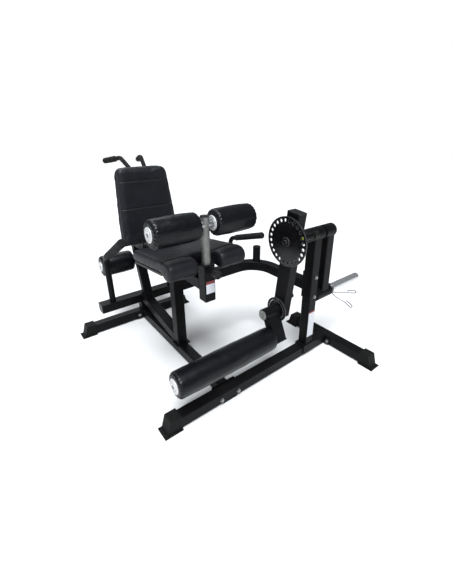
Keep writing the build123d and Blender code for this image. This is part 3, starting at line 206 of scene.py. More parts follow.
def vinyl(name, dark, light, rough_low, rough_high, grain):
    """Upholstery vinyl: leather grain with painted shade in its pores, soft creases and a slow change of
    tone.
    """
    paint = Paint(name)
    cloud = paint.noise(9.0, 5.0, 0.6)
    tone = paint.mix(paint.span(cloud, 0.3, 0.72, 0, 1), dark, light)
    pores = paint.cells(1150.0, "DISTANCE_TO_EDGE")
    # Painted shade: the grain's pores are darkened, standing in for shade inside the pits.
    pore_shade_share = paint.span(pores, 0.0, 0.12, 1.0, 0.0)
    painted_pore_shade = tuple(value * 0.55 for value in dark)
    paint.colour(paint.mix(paint.span(pore_shade_share, 0, 1, 0, 0.35), tone, painted_pore_shade))
    paint.rough(paint.span(paint.noise(30.0, 4.0), 0.3, 0.7, rough_low, rough_high))
    paint.bump(paint.noise(26.0, 3.0, 0.55), 0.0012, 0.25)
    paint.bump(pores, 0.00035, grain)
    paint.bump(paint.noise(420.0, 3.0), 0.0001, 0.35)
    return paint.set(Specular_IOR_Level=0.24).material


def foam():
    """Closed-cell foam grip: open pores darkened as painted shade, and a dusty grey skin."""
    paint = Paint("foam_grip")
    pores = paint.cells(620.0)
    # Painted shade: the pores are darkened at their centres, standing in for shade inside the holes.
    foam_pore_shade = paint.span(pores, 0.1, 0.6, 0, 1)
    shade = paint.mix(foam_pore_shade, (0.003, 0.003, 0.003), (0.009, 0.009, 0.0095))
    dust = paint.span(paint.noise(40, 4), 0.35, 0.75, 0, 0.6)
    paint.colour(paint.mix(dust, shade, (0.026, 0.026, 0.027)))
    paint.rough(paint.span(pores, 0, 0.6, 0.95, 0.75))
    paint.bump(pores, 0.0006, 0.8)
    return paint.set(Specular_IOR_Level=0.10).material


def rubber():
    """Moulded rubber foot: matte and scuffed."""
    paint = Paint("rubber_foot")
    scuff = paint.span(paint.noise(60.0, 6.0, 0.7), 0.5, 0.75, 0, 1)
    paint.colour(paint.mix(scuff, (0.003, 0.003, 0.003), (0.009, 0.009, 0.0085)))
    paint.rough(paint.span(scuff, 0, 1, 0.62, 0.85))
    paint.bump(paint.noise(700.0, 3.0), 0.0003, 0.5)
    return paint.set(Specular_IOR_Level=0.14).material


def moulded_plastic():
    """Black moulded plastic with a fine spark-eroded texture."""
    paint = Paint("moulded_plastic")
    cloud = paint.span(paint.noise(20.0, 3.0), 0.3, 0.7, 0, 1)
    paint.colour(paint.mix(cloud, (0.003, 0.003, 0.003), (0.006, 0.006, 0.0065)))
    paint.rough(paint.span(paint.noise(90.0, 2.0), 0.3, 0.7, 0.35, 0.52))
    paint.bump(paint.cells(1500.0), 0.00015, 0.5)
    return paint.set(Specular_IOR_Level=0.25).material


def metal(name, colour, rough_low, rough_high, stretch, scratch=0.00005, tarnish=0.75):
    """Bare or plated metal with a grain drawn out along one axis and faint stains."""
    paint = Paint(name)
    lines = paint.noise(60.0, 6.0, 0.65, paint.mapped(stretch))
    stain = paint.span(paint.noise(24.0, 5.0, 0.6), 0.4, 0.75, 0, 1)
    dull = tuple(value * tarnish for value in colour)
    paint.colour(paint.mix(stain, colour, dull))
    grain = paint.span(lines, 0.3, 0.7, rough_low, rough_high)
    paint.rough(paint.maths("ADD", grain, paint.span(stain, 0, 1, 0, 0.05)))
    paint.bump(lines, scratch, 0.5)
    return paint.set(Metallic=1.0).material


def plated_disc():
    """Light plated end disc, a little cloudy."""
    paint = Paint("end_disc")
    cloud = paint.span(paint.noise(35.0, 4.0), 0.35, 0.7, 0, 1)
    paint.colour(paint.mix(cloud, (0.62, 0.62, 0.62), (0.50, 0.50, 0.51)))
    paint.rough(paint.span(paint.noise(200.0, 3.0), 0.3, 0.7, 0.3, 0.45))
    paint.bump(paint.noise(500.0, 2.0), 0.0001, 0.4)
    return paint.set(Metallic=0.35).material


def yellow_paint():
    """Yellow-green painted pin tip, chipped to bare steel in places."""
    paint = Paint("yellow_pin")
    chip = paint.span(paint.noise(420.0, 4.0), 0.66, 0.72, 0, 1)
    paint.colour(paint.mix(chip, (0.52, 0.60, 0.06), (0.35, 0.35, 0.33)))
    paint.rough(paint.span(paint.noise(150.0), 0.3, 0.7, 0.3, 0.45))
    paint.bump(chip, 0.0001, 0.4)
    return paint.material


def board():
    """Black-stained plywood board with long grain."""
    paint = Paint("stained_board")
    grain = paint.noise(14.0, 6.0, 0.6, paint.mapped((1.0, 14.0, 14.0)))
    streaks = paint.span(grain, 0.3, 0.7, 0, 1)
    paint.colour(paint.mix(streaks, (0.010, 0.009, 0.008), (0.030, 0.027, 0.024)))
    paint.rough(paint.span(grain, 0.3, 0.7, 0.55, 0.75))
    paint.bump(grain, 0.0004, 0.5)
    return paint.material


LOW_LABEL_BAND = (0.290, 0.310)
HIGH_LABEL_BAND = 0.604
LABEL_EDGE = 0.0006


def label_film():
    """Blank label film: off-white with soft grey mottling and plain dark red bands, no lettering."""
    paint = Paint("label_film")
    parts = paint.node("ShaderNodeSeparateXYZ")
    paint.link(paint.place, parts.inputs[0])
    height = parts.outputs["Z"]
    foot, top = LOW_LABEL_BAND
    over_foot = paint.span(height, foot, foot + LABEL_EDGE, 0, 1)
    under_top = paint.span(height, top, top + LABEL_EDGE, 1, 0)
    low_band = paint.maths("MULTIPLY", over_foot, under_top)
    high_band = paint.span(height, HIGH_LABEL_BAND, HIGH_LABEL_BAND + LABEL_EDGE, 0, 1)
    band = paint.maths("MAXIMUM", low_band, high_band)
    mottle = paint.span(paint.noise(160.0, 4), 0.4, 0.65, 0, 1)
    paper = paint.mix(mottle, (0.66, 0.67, 0.70), (0.50, 0.52, 0.57))
    paint.colour(paint.mix(band, paper, (0.16, 0.015, 0.02)))
    paint.rough(paint.span(paint.noise(80.0), 0.3, 0.7, 0.35, 0.5))
    paint.bump(paint.noise(300.0), 0.00005, 0.3)
    return paint.material


def thread():
    """Twisted upholstery thread."""
    paint = Paint("thread")
    paint.colour(paint.mix(paint.noise(900.0), (0.007, 0.007, 0.009), (0.020, 0.020, 0.024)))
    paint.rough(paint.span(paint.noise(1200.0), 0.3, 0.7, 0.6, 0.8))
    paint.bump(paint.noise(2500.0), 0.0001, 0.5)
    return paint.material


def floor_paint():
    """Plain pale floor."""
    paint = Paint("pale_floor")
    paint.colour(paint.mix(paint.noise(2.0), (0.60, 0.60, 0.60), (0.62, 0.62, 0.62)))
    paint.rough(paint.span(paint.noise(30.0), 0.3, 0.7, 0.55, 0.65))
    return paint.material


FINISH = {
    "black_frame": powder_coat("powder_coat", (0.34, 0.46), 0.10, (0.022, 0.022, 0.024)),
    "rubber": rubber(),
    "steel": metal("ground_steel", (0.42, 0.42, 0.43), 0.28, 0.42, (3.0, 40.0, 40.0)),
    "zinc": metal("zinc_plate", (0.36, 0.36, 0.35), 0.34, 0.48, (8.0, 8.0, 8.0)),
    "bronze": metal("sintered_bronze", (0.42, 0.27, 0.13), 0.4, 0.55, (20.0, 20.0, 20.0)),
    "black_plastic": moulded_plastic(),
    "yellow_pin": yellow_paint(),
    "chrome": metal("chrome_sleeve", (0.70, 0.70, 0.71), 0.26, 0.38, (3.0, 40.0, 40.0), 0.00003, 0.8),
    "wire": metal("wire_chrome", (0.14, 0.14, 0.145), 0.28, 0.40, (12.0, 12.0, 12.0)),
    "satin_post": metal("satin_post", (0.27, 0.27, 0.26), 0.50, 0.62, (60.0, 60.0, 2.0)),
    "vinyl": vinyl("roller_vinyl", (0.0018, 0.0020, 0.0030), (0.0030, 0.0034, 0.0050), 0.28, 0.38, 0.22),
    "seat_vinyl": vinyl("seat_vinyl", (0.0055, 0.0055, 0.0078), (0.009, 0.009, 0.0125), 0.42, 0.56, 0.40),
    "plywood": board(),
    "foam_grip": foam(),
    "label": label_film(),
}
EXTRA = {
    # The discs' paint is glossier, and its last colour gives a strong light grey painted highlight on
    # rims and hole edges.
    "gloss_paint": powder_coat("gloss_paint", (0.16, 0.24), 0.35, (0.30, 0.30, 0.31)),
    "disc": plated_disc(),
    "thread": thread(),
    "floor": floor_paint(),
}
GLOSSY_NODES = ("index_disc", "ankle_disc")


def dress_cad():
    """Gives every CAD node the finish of its own material slot; the two discs are glossier."""
    slots = {part["node"]: part["material_slot"] for part in frame["record"]["subparts"]}
    for name, node in NODES.items():
        node.data.materials.clear()
        finish = EXTRA["gloss_paint"] if name in GLOSSY_NODES else FINISH[slots[name]]
        node.data.materials.append(finish)


# ---------------------------------------------------------------- mesh tools


def new_piece(name, vertices, faces, body, slot, material=None, smooth=True):
    """A mesh object that rides on a CAD body, with a finish from a slot."""
    mesh = bpy.data.meshes.new(name)
    mesh.from_pydata([tuple(v) for v in vertices], [], faces)
    mesh.validate()
    if smooth:
        mesh.shade_smooth()
    mesh.materials.append(material or FINISH[slot])
    piece = bpy.data.objects.new(name, mesh)
    SCENE.collection.objects.link(piece)
    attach(piece, body)
    return piece


def loop_faces(rings, around, closed_ends=False):
    """Quads between rings of points, each ring holding the same number around."""
    faces = []
    for ring in range(rings - 1):
        for step in range(around):
            after = (step + 1) % around
            here, there = ring * around, (ring + 1) * around
            faces.append((here + step, here + after, there + after, there + step))
    if closed_ends:
        faces.append(tuple(reversed(range(around))))
        faces.append(tuple(range((rings - 1) * around, rings * around)))
    return faces


def around_x(x, centre, reach, angle):
    """Point at a distance and an angle from an axis along X."""
    return (x, centre[0] + reach * math.cos(angle), centre[1] + reach * math.sin(angle))


def turned(name, profile, centre, body, slot, material=None, around=64, shape=None):
    """A body turned about an axis along X: profile holds (x, radius); shape may bend each point."""
    points = []
    for x, radius in profile:
        for step in range(around):
            angle = 2 * math.pi * step / around
            dx, dr = shape(x, radius, angle) if shape else (0.0, 0.0)
            points.append(around_x(x + dx, centre, radius + dr, angle))
    faces = loop_faces(len(profile), around)
    piece = new_piece(name, points, faces, body, slot, material)
    fix_normals(piece)
    return piece


def fix_normals(piece):
    """Turns all faces of a closed piece outward."""
    work = bmesh.new()
    work.from_mesh(piece.data)
    bmesh.ops.recalc_face_normals(work, faces=work.faces)
    work.to_mesh(piece.data)
    work.free()


def arc(centre_x, centre_r, radius, start, end, count):
    """Points of an arc in the (x, radius) profile plane, angles in degrees."""
    found = []
    for number in range(count + 1):
        turn = math.radians(start + (end - start) * number / count)
        found.append((centre_x + radius * math.cos(turn), centre_r + radius * math.sin(turn)))
    return found


# ---------------------------------------------------------------- rollers

ROLLER_CORNER = 0.017
ROLLER_HOLE = 0.0135
ROLLER_SWELL = 0.0022
DISC_DEPTH = 0.007
INNER_DISC = 1.04
GATHER_COUNT = 19
GATHER_IN = 0.0042
GATHER_DOWN = 0.0038


def roller_profile(low, high, radius):
    """Half section of a padded roller: end face, rounded corner, crowned run, and back."""
    corner = ROLLER_CORNER
    reach = radius - corner - ROLLER_HOLE
    face = [(low + 0.004, ROLLER_HOLE + reach * share) for share in np.linspace(0, 0.999, 9)]
    dish = [(x - 0.004 * math.sin(math.pi / 2 * number / 8), r) for number, (x, r) in enumerate(face)]
    left = arc(low + corner, radius - corner, corner, 180, 90, 10)[1:]
    run = []
    for share in np.linspace(0, 1, 42)[1:-1]:
        x = low + corner + (high - low - 2 * corner) * share
        run.append((x, radius + ROLLER_SWELL * math.sin(math.pi * share)))
    right = arc(high - corner, radius - corner, corner, 90, 0, 10)
    back = [(high + low - x, r) for x, r in reversed(dish)]
    return dish + left + run + right + back


def gathered(low, high, radius, strong_low, strong_high, seed):
    """Displacement that gathers the vinyl into pleats at the ends and ripples it a little."""
    draw = random.Random(seed)
    phase = [draw.uniform(0, 2 * math.pi) for _ in range(6)]

    def shape(x, r, angle):
        near_low, near_high = x - low, high - x
        near = min(near_low, near_high)
        strength = strong_low if near_low < near_high else strong_high
        wander = 0.5 * math.sin(2 * angle + phase[0]) + 0.35 * math.sin(3 * angle + phase[1])
        pleat = abs(math.sin(0.5 * (GATHER_COUNT * angle + 1.6 * wander + phase[2]))) ** 0.7
        fade = math.exp(-max(near, 0.0) / 0.013)
        on_face = min(1.0, max(0.0, (r - 0.02) / (radius - 0.02)))
        inward = 1 if near_low < near_high else -1
        depth = strength * (1 - pleat) * on_face
        dx = inward * GATHER_IN * depth * math.exp(-max(near - 0.004, 0) / 0.010)
        dr = -GATHER_DOWN * depth * fade
        spot = Vector((x * 14, math.cos(angle) * 1.3, math.sin(angle) * 1.3 + seed))
        ripple = 0.0011 * noise.noise(spot * 1.7) + 0.0006 * noise.noise(spot * 4.1)
        return dx, dr + ripple * on_face

    return shape


def padded_roller(node, gathers, disc_side, disc_radius, seed):
    """Vinyl-covered roller in place of its CAD solid, on the body of the same name."""
    low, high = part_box(node)
    centre = ((low.y + high.y) / 2, (low.z + high.z) / 2)
    radius = (high.z - low.z) / 2 - 0.001
    start = low.x + (DISC_DEPTH if disc_side < 0 else 0.0)
    end = high.x - (DISC_DEPTH if disc_side > 0 else 0.0)
    profile = roller_profile(start, end, radius)
    shape = gathered(start, end, radius, *gathers, seed)
    cover = turned(node + "_cover", profile, centre, node, "vinyl", around=192, shape=shape)
    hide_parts(node)
    for side, place in ((-1, start), (1, end)):
        outer = disc_radius if side == disc_side else disc_radius * INNER_DISC
        end_disc(node, centre, place, side, outer, side == disc_side)


def end_disc(node, centre, place, side, radius, shown):
    """Dished disc with a raised rim, a hub and a hex screw at a roller's end."""
    lift = 0.0045
    thick = 0.0030
    outline = [
        (-0.002, ROLLER_HOLE), (-0.002, radius - 0.002), (0.0005, radius), (thick, radius - 0.0008),
        (lift, radius - 0.0028), (lift - 0.0002, radius - 0.0058), (thick - 0.0008, radius - 0.0078),
        (thick - 0.0008, radius * 0.52), (thick + 0.0004, radius * 0.49), (lift + 0.0012, radius * 0.46),
        (lift + 0.0016, radius * 0.42), (lift + 0.0016, radius * 0.12), (lift + 0.0016, 0.0005),
    ]
    tag = "outer" if shown else "inner"
    profile = [(place + side * x, r) for x, r in outline]
    turned(f"{node}_{tag}_disc", profile, centre, node, "satin_post", EXTRA["disc"], around=72)
    if shown:
        hex_screw(f"{node}_screw", node, centre, place + side * (lift + 0.0014), side)


def hex_screw(name, body, centre, place, side, across=0.0075, tall=0.0045):
    """Hex head with a chamfered top and a washer face."""
    rows = [(0.0, across * 1.35), (0.0008, across * 1.35), (0.0008, across), (tall * 0.8, across)]
    rows += [(tall, across * 0.82), (tall, 0.0004)]
    points, around = [], 36
    for x, radius in rows:
        flat = abs(radius - across) < 1e-6
        for step in range(around):
            angle = 2 * math.pi * step / around
            sector = (angle % (math.pi / 3)) - math.pi / 6
            reach = radius * (0.866 / math.cos(sector) if flat else 0.9)
            points.append(around_x(place + side * x, centre, reach, angle))
    piece = new_piece(name, points, loop_faces(len(rows), around), body, "zinc", smooth=False)
    fix_normals(piece)


# ---------------------------------------------------------------- cushions


def apply_modifiers(piece):
    """Bakes a piece's modifiers into its mesh."""
    graph = bpy.context.evaluated_depsgraph_get()
    graph.update()
    mesh = bpy.data.meshes.new_from_object(piece.evaluated_get(graph), depsgraph=graph)
    old = piece.data
    piece.modifiers.clear()
    piece.data = mesh
    bpy.data.meshes.remove(old)


def points_of(mesh):
    """Vertex positions as an array."""
    found = np.empty(len(mesh.vertices) * 3, np.float64)
    mesh.vertices.foreach_get("co", found)
    return found.reshape(-1, 3)


def normals_of(mesh):
    """Vertex normals as an array."""
    found = np.empty(len(mesh.vertices) * 3, np.float64)
    mesh.vertices.foreach_get("normal", found)
    return found.reshape(-1, 3)


def set_points(mesh, points):
    """Moves the vertices to an array of positions."""
    mesh.vertices.foreach_set("co", points.astype(np.float32).ravel())
    mesh.update()


VOXEL = 0.006
INSET = 0.004
WELD = 0.0001
CLOTH_FRAMES = 20
CLOTH_MASS = 0.35


def remeshed_copy(node, name):
    """A voxel copy of a CAD cushion, drawn in a little so that it can swell back out."""
    mesh = NODES[node].data.copy()
    piece = bpy.data.objects.new(name, mesh)
    SCENE.collection.objects.link(piece)
    weld = piece.modifiers.new("weld", "WELD")
    weld.merge_threshold = WELD
    remesh = piece.modifiers.new("remesh", "REMESH")
    remesh.mode = "VOXEL"
    remesh.voxel_size = VOXEL
    smooth = piece.modifiers.new("smooth", "SMOOTH")
    smooth.iterations = 6
    smooth.factor = 0.5
    apply_modifiers(piece)
    mesh = piece.data
    set_points(mesh, points_of(mesh) - normals_of(mesh) * INSET)
    return piece


def inflate(piece, cap, held, pressure=4.0, bending=4.0):
    """Swells a cushion as pressurised cloth; held marks the points that stay on the board."""
    rest = points_of(piece.data)
    group = piece.vertex_groups.new(name="held")
    group.add([int(i) for i in np.nonzero(held)[0]], 1.0, "REPLACE")
    cloth = piece.modifiers.new("cloth", "CLOTH")
    settings = cloth.settings
    settings.quality = 4
    settings.mass = CLOTH_MASS
    settings.tension_stiffness = 25
    settings.compression_stiffness = 20
    settings.bending_stiffness = bending
    settings.use_pressure = True
    settings.uniform_pressure_force = pressure
    settings.effector_weights.gravity = 0
    settings.vertex_group_mass = "held"
    for number in range(1, CLOTH_FRAMES + 1):
        SCENE.frame_set(number)
    apply_modifiers(piece)
    SCENE.frame_set(1)
    moved = points_of(piece.data) - rest
    far = np.linalg.norm(moved, axis=1, keepdims=True)
    set_points(piece.data, rest + moved * np.minimum(1.0, cap / np.maximum(far, 1e-9)))


def relaxed(piece, rounds):
    """Irons out the small wrinkles that the cloth leaves."""
    smoother = piece.modifiers.new("iron", "SMOOTH")
    smoother.iterations = rounds
    smoother.factor = 0.5
    apply_modifiers(piece)


def subdivided(piece):
    """One level of subdivision, baked."""
    smoother = piece.modifiers.new("subdivision", "SUBSURF")
    smoother.levels = 1
    smoother.render_levels = 1
    apply_modifiers(piece)
    piece.data.shade_smooth()


def groove(points, normals, distance, facing, width, depth):
    """Presses a sewn channel into the points whose signed distance from it is small."""
    press = np.exp(-((distance / width) ** 2)) * depth
    press *= np.clip(facing, 0, 1)
    return points - normals * press[:, None]


def finish_cushion(piece, name, body, node):
    piece.name = name
    piece.data.materials.clear()
    piece.data.materials.append(FINISH["seat_vinyl"])
    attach(piece, body)
    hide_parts(node)


def tube_along(name, points, radius, body, slot, material=None, closed=False, around=8):
    """A round tube through a list of points."""
    points = [Vector(p) for p in points]
    count = len(points)
    rings, side = [], None
    for number, point in enumerate(points):
        before = points[number - 1] if number or closed else point
        after = points[(number + 1) % count] if number < count - 1 or closed else point
        along = (after - before).normalized()
        if side is None:
            side = along.orthogonal().normalized()
        side = (side - along * side.dot(along)).normalized()
        other = along.cross(side)
        for step in range(around):
            angle = 2 * math.pi * step / around
            rings.append(point + radius * (side * math.cos(angle) + other * math.sin(angle)))
    faces = loop_faces(count, around, not closed)
    if closed:
        last = (count - 1) * around
        for step in range(around):
            after = (step + 1) % around
            faces.append((last + step, last + after, after, step))
    piece = new_piece(name, rings, faces, body, slot, material)
    fix_normals(piece)
    return piece


STITCH = 0.0042
STITCH_GAP = 0.0022
THREAD_RADIUS = 0.0005
STITCH_SIDES = 5
STITCH_RINGS = ((0.0, -0.0004), (0.25, 0.0004), (0.75, 0.0004), (1.0, -0.0004))


def stitch_spans(points):
    """First and last point numbers of each stitch along a line of points."""
    spans = []
    travelled, start = 0.0, None
    for number in range(1, len(points)):
        step = (points[number] - points[number - 1]).length
        if start is None and travelled >= STITCH_GAP:
            start, travelled = number, 0.0
        elif start is not None and travelled >= STITCH:
            spans.append((start, number))
            start, travelled = None, 0.0
        travelled += step
    return spans


def stitches(name, points, normals, body):
    """A row of thread stitches lying on a surface along a line of points."""
    vertices, faces = [], []
    for first, last in stitch_spans(points):
        a, b = points[first], points[last]
        up = normals[first]
        side = (b - a).normalized().cross(up).normalized()
        base = len(vertices)
        for share, lift in STITCH_RINGS:
            centre = a.lerp(b, share) + up * lift
            for step in range(STITCH_SIDES):
                turn = 2 * math.pi * step / STITCH_SIDES
                vertices.append(centre + THREAD_RADIUS * (side * math.cos(turn) + up * math.sin(turn)))
        for face in loop_faces(len(STITCH_RINGS), STITCH_SIDES):
            faces.append(tuple(base + corner for corner in face))
    if faces:
        new_piece(name, vertices, faces, body, "seat_vinyl", EXTRA["thread"])


def stitch_row(name, tree, origins, direction, body, steepest):
    """Stitches where rays meet a surface that faces back along them."""
    found, facing = surface_line(tree, origins, direction)
    kept = [(p, n) for p, n in zip(found, facing) if -n.dot(Vector(direction)) > steepest]
    if kept:
        stitches(name, [p for p, _ in kept], [n for _, n in kept], body)


def surface_line(tree, origins, direction):
    """Where rays from a list of origins, all in one direction, meet a surface."""
    points, normals = [], []
    for origin in origins:
        spot, normal, _, _ = tree.ray_cast(Vector(origin), Vector(direction))
        if spot is not None:
            points.append(spot)
            normals.append(normal)
    return points, normals


def tree_of(piece):
    """Search tree of a piece's faces, for rays."""
    work = bmesh.new()
    work.from_mesh(piece.data)
    tree = BVHTree.FromBMesh(work)
    work.free()
    return tree


BACK_SEAMS = (0.485, 0.825)
BACK_LEAN = math.radians(7.0)
BACK_OUT = np.array([0.0, -math.cos(BACK_LEAN), math.sin(BACK_LEAN)])
BACK_UP = np.array([0.0, math.sin(BACK_LEAN), math.cos(BACK_LEAN)])
SEAM_TO_THREAD = 0.0045
FACING_GAIN = 1.3


def backrest():
    """Backrest cushion with two sewn channels across it and a welted rim."""
    low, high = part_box("backrest_pad")
    middle_x = (low.x + high.x) / 2
    piece = remeshed_copy("backrest_pad", "backrest_cushion")
    depth = points_of(piece.data) @ BACK_OUT
    inflate(piece, 0.007, depth < depth.min() + 0.010)
    relaxed(piece, 6)
    subdivided(piece)
    points, normals = points_of(piece.data), normals_of(piece.data)
    height = points @ BACK_UP
    foot, top = height.min(), height.max()
    facing = normals @ BACK_OUT * FACING_GAIN
    seams = [foot + (top - foot) * share for share in BACK_SEAMS]
    for line in seams:
        points = groove(points, normals, height - line, facing, 0.0045, 0.0022)
        points = groove(points, normals, height - line, facing, 0.0014, 0.0020)
    set_points(piece.data, points)
    finish_cushion(piece, "backrest_cushion", "backrest", "backrest_pad")
    tree = tree_of(piece)
    front = (points @ BACK_OUT).max()
    for row, seam in enumerate(seams):
        for side, word in ((-1, "lower"), (1, "upper")):
            spot = BACK_OUT * (front + 0.05) + BACK_UP * (seam + side * SEAM_TO_THREAD)
            origins = [(middle_x + x, spot[1], spot[2]) for x in np.linspace(-0.168, 0.168, 560)]
            name = f"backrest_stitch_{row}_{word}"
            stitch_row(name, tree, origins, -BACK_OUT, "backrest", 0.75)
    rim(tree, middle_x, (foot + top) / 2, front)


WELT_SMOOTHING = 6
WELT_RADIUS = 0.0024
WELT_SETBACK = 0.017
WELT_SUNK = 0.0006


def rim(tree, middle_x, middle_height, front):
    """Welt cord round the backrest, a little behind its front face."""
    centre = BACK_OUT * (front - WELT_SETBACK) + BACK_UP * middle_height
    route = []
    for turn in np.linspace(0, 2 * math.pi, 181)[:-1]:
        away = np.array([math.cos(turn), 0, 0]) + BACK_UP * math.sin(turn) * 1.25
        away = Vector(away).normalized()
        origin = Vector((middle_x, centre[1], centre[2])) + away * 0.6
        spot, normal, _, _ = tree.ray_cast(origin, -away)
        if spot is not None:
            route.append(spot - normal * WELT_SUNK)
    count = len(route)
    for _ in range(WELT_SMOOTHING):
        route = [(route[i - 1] + route[i] * 2 + route[(i + 1) % count]) / 4 for i in range(count)]
    tube_along("backrest_welt", route, WELT_RADIUS, "backrest", "seat_vinyl", closed=True)


SEAT_SEAM = 0.088
SEAT_HELD_FROM = 0.12
SEAT_THREAD = 0.005


def seat():
    """Seat cushion: crowned slab and two front bolsters in one cover."""
    piece = remeshed_copy("seat_pad", "seat_cushion")
    low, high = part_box("seat_pad")
    points, normals = points_of(piece.data), normals_of(piece.data)
    rear_part = points[:, 1] > low.y + SEAT_HELD_FROM
    held = (normals[:, 2] < -0.8) & rear_part
    inflate(piece, 0.006, held, 2.5, 15.0)
    relaxed(piece, 70)
    subdivided(piece)
    points, normals = points_of(piece.data), normals_of(piece.data)
    seam_y = low.y + SEAT_SEAM
    near_top = np.clip(normals[:, 2] * FACING_GAIN, 0, 1)
    points = groove(points, normals, points[:, 1] - seam_y, near_top, 0.006, 0.0045)
    set_points(piece.data, points)
    finish_cushion(piece, "seat_cushion", "frame", "seat_pad")
    tree = tree_of(piece)
    middle_x = (low.x + high.x) / 2
    for side, word in ((-1, "front"), (1, "rear")):
        y = seam_y + side * SEAT_THREAD
        origins = [(middle_x + x, y, high.z + 0.1) for x in np.linspace(-0.205, 0.205, 680)]
        stitch_row(f"seat_stitch_{word}", tree, origins, (0, 0, -1), "frame", 0.7)


# ---------------------------------------------------------------- spring clip

CLIP_WIRE = 0.0028
CLIP_PLAY = 0.0006
CLIP_PITCH = 2.08
CLIP_TURNS = (180.0, -830.0)
CLIP_LOOP = 0.050
CLIP_LOOP_HALF = 0.0072
CLIP_FACING = (0.58, 0.72, -0.38)
LOW_TIP = (0.044, -0.145, -0.088)
HIGH_TIP = (0.094, -0.135, -0.007)


def clip_handle(base, leave, tip):
    """Wire from the coil to a long closed loop: leaves along one direction and bends to the tip."""
    along = (tip - base).normalized()
    side = along.cross(Vector(CLIP_FACING)).normalized()
    reach = (tip - base).length
    bend = base + leave * 0.022
    neck = tip - along * CLIP_LOOP
    route = [base + leave * 0.008, bend, bend.lerp(neck, 0.35) + leave * 0.006 * reach / 0.15, neck]
    route += [tip - along * CLIP_LOOP * share for share in (0.75, 0.45, 0.16)]
    turn_centre = tip - along * CLIP_LOOP_HALF + side * CLIP_LOOP_HALF
    for angle in (-60, -20, 20, 60):
        turn = math.radians(angle)
        route.append(turn_centre + CLIP_LOOP_HALF * (along * math.cos(turn) + side * math.sin(turn)))
    far_side = side * 2 * CLIP_LOOP_HALF
    route += [tip - along * CLIP_LOOP * share + far_side for share in (0.16, 0.45, 0.75, 0.92)]
    route.append(neck + side * CLIP_LOOP_HALF * 1.1 - along * 0.001)
    return route


def spring_clip():
    """Wire spring clip on the weight sleeve: nearly three coils and two looped handles."""
    low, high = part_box("weight_sleeve")
    middle = Vector((0, (low.y + high.y) / 2, (low.z + high.z) / 2))
    clip_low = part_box("spring_collar")[0]
    radius = (high.z - low.z) / 2 + CLIP_PLAY + CLIP_WIRE
    first, last = CLIP_TURNS
    pitch = CLIP_PITCH * CLIP_WIRE / 360

    def on_coil(turn):
        angle = math.radians(turn)
        x = clip_low.x + CLIP_WIRE + (first - turn) * pitch
        return Vector((x, middle.y + radius * math.cos(angle), middle.z + radius * math.sin(angle)))

    def heading(turn):
        angle = math.radians(turn)
        return Vector((0, math.sin(angle), -math.cos(angle)))

    foot = Vector((clip_low.x, middle.y, middle.z))
    start = clip_handle(on_coil(first), -heading(first), foot + Vector(LOW_TIP))
    end = clip_handle(on_coil(last), heading(last), foot + Vector(HIGH_TIP))
    coils = [on_coil(turn) for turn in np.linspace(first, last, 110)]
    route = smooth_route(list(reversed(start)) + coils + end)
    piece = tube_along("spring_clip", route, CLIP_WIRE, "spring_collar", "wire", around=12)
    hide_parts("spring_collar")


def smooth_route(points):
    """Points along a NURBS spline with the given control points."""
    curve = bpy.data.curves.new("clip_route", "CURVE")
    curve.dimensions = "3D"
    spline = curve.splines.new("NURBS")
    spline.points.add(len(points) - 1)
    for target, point in zip(spline.points, points):
        target.co = (*point, 1.0)
    spline.order_u = 3
    spline.use_endpoint_u = True
    spline.resolution_u = 4
    route = bpy.data.objects.new("clip_route", curve)
    SCENE.collection.objects.link(route)
    graph = bpy.context.evaluated_depsgraph_get()
    line = bpy.data.meshes.new_from_object(route.evaluated_get(graph))
    smooth = [v.co.copy() for v in line.vertices]
    bpy.data.objects.remove(route)
    return smooth


# ---------------------------------------------------------------- light and floor

FLOOR_HALF = 14.0
FLOOR_DROP = 0.0005
ROOM_LIGHT = 0.26
LAMPS = (
    ("key", (0.22, 0.30, -0.93), 5.8, 34.0),
    ("fill", (0.75, 0.45, -0.48), 0.8, 50.0),
    ("back", (-0.10, -0.75, -0.65), 0.8, 40.0),
)
LAMP_COLOUR = (0.94, 0.97, 1.0)


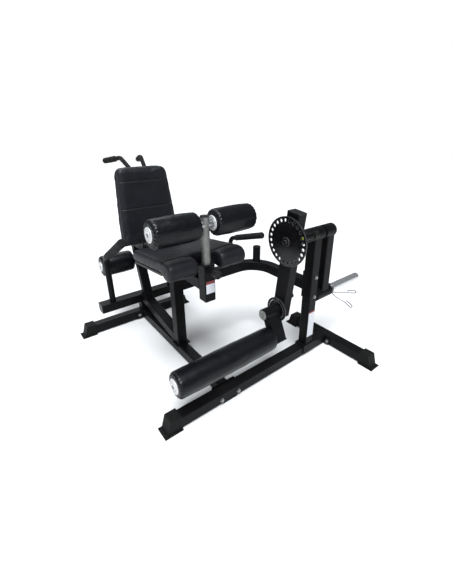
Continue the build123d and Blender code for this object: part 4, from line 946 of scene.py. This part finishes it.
def floor():
    """Plain pale floor, just under the feet."""
    mesh = bpy.data.meshes.new("floor")
    signs = ((-1, -1), (1, -1), (1, 1), (-1, 1))
    corners = [(FLOOR_HALF * x, FLOOR_HALF * y, -FLOOR_DROP) for x, y in signs]
    mesh.from_pydata(corners, [], [(0, 1, 2, 3)])
    mesh.materials.append(EXTRA["floor"])
    ground = bpy.data.objects.new("floor", mesh)
    SCENE.collection.objects.link(ground)


def backdrop():
    """Soft room light, before a white backdrop."""
    world = bpy.data.worlds.new("studio")
    world.use_nodes = True
    tree = world.node_tree
    room = tree.nodes["Background"]
    room.inputs["Color"].default_value = (0.93, 0.96, 1.0, 1)
    room.inputs["Strength"].default_value = ROOM_LIGHT
    white = tree.nodes.new("ShaderNodeBackground")
    white.inputs["Color"].default_value = (1, 1, 1, 1)
    seen = tree.nodes.new("ShaderNodeLightPath")
    share = tree.nodes.new("ShaderNodeMixShader")
    tree.links.new(seen.outputs["Is Camera Ray"], share.inputs[0])
    tree.links.new(room.outputs[0], share.inputs[1])
    tree.links.new(white.outputs[0], share.inputs[2])
    tree.links.new(share.outputs[0], tree.nodes["World Output"].inputs["Surface"])
    SCENE.world = world
    SCENE.view_settings.view_transform = "Standard"


def lamps():
    """Three broad soft lamps."""
    for name, aim, strength, spread in LAMPS:
        lamp = bpy.data.lights.new(name, "SUN")
        lamp.energy = strength
        lamp.color = LAMP_COLOUR
        lamp.angle = math.radians(spread)
        holder = bpy.data.objects.new(name, lamp)
        holder.rotation_euler = Vector(aim).to_track_quat("-Z", "Y").to_euler()
        SCENE.collection.objects.link(holder)


# ---------------------------------------------------------------- build

make_camera()
dress_cad()
floor()
backdrop()
lamps()
padded_roller("lower_roller", (0.55, 0.4), -1, 0.0375, 3)
padded_roller("upper_roller_left", (1.0, 0.6), -1, 0.034, 11)
padded_roller("upper_roller_right", (1.0, 0.6), 1, 0.034, 17)
padded_roller("rear_roller_left", (0.9, 0.6), -1, 0.034, 23)
padded_roller("rear_roller_right", (0.6, 0.9), 1, 0.034, 29)
backrest()
seat()
spring_clip()
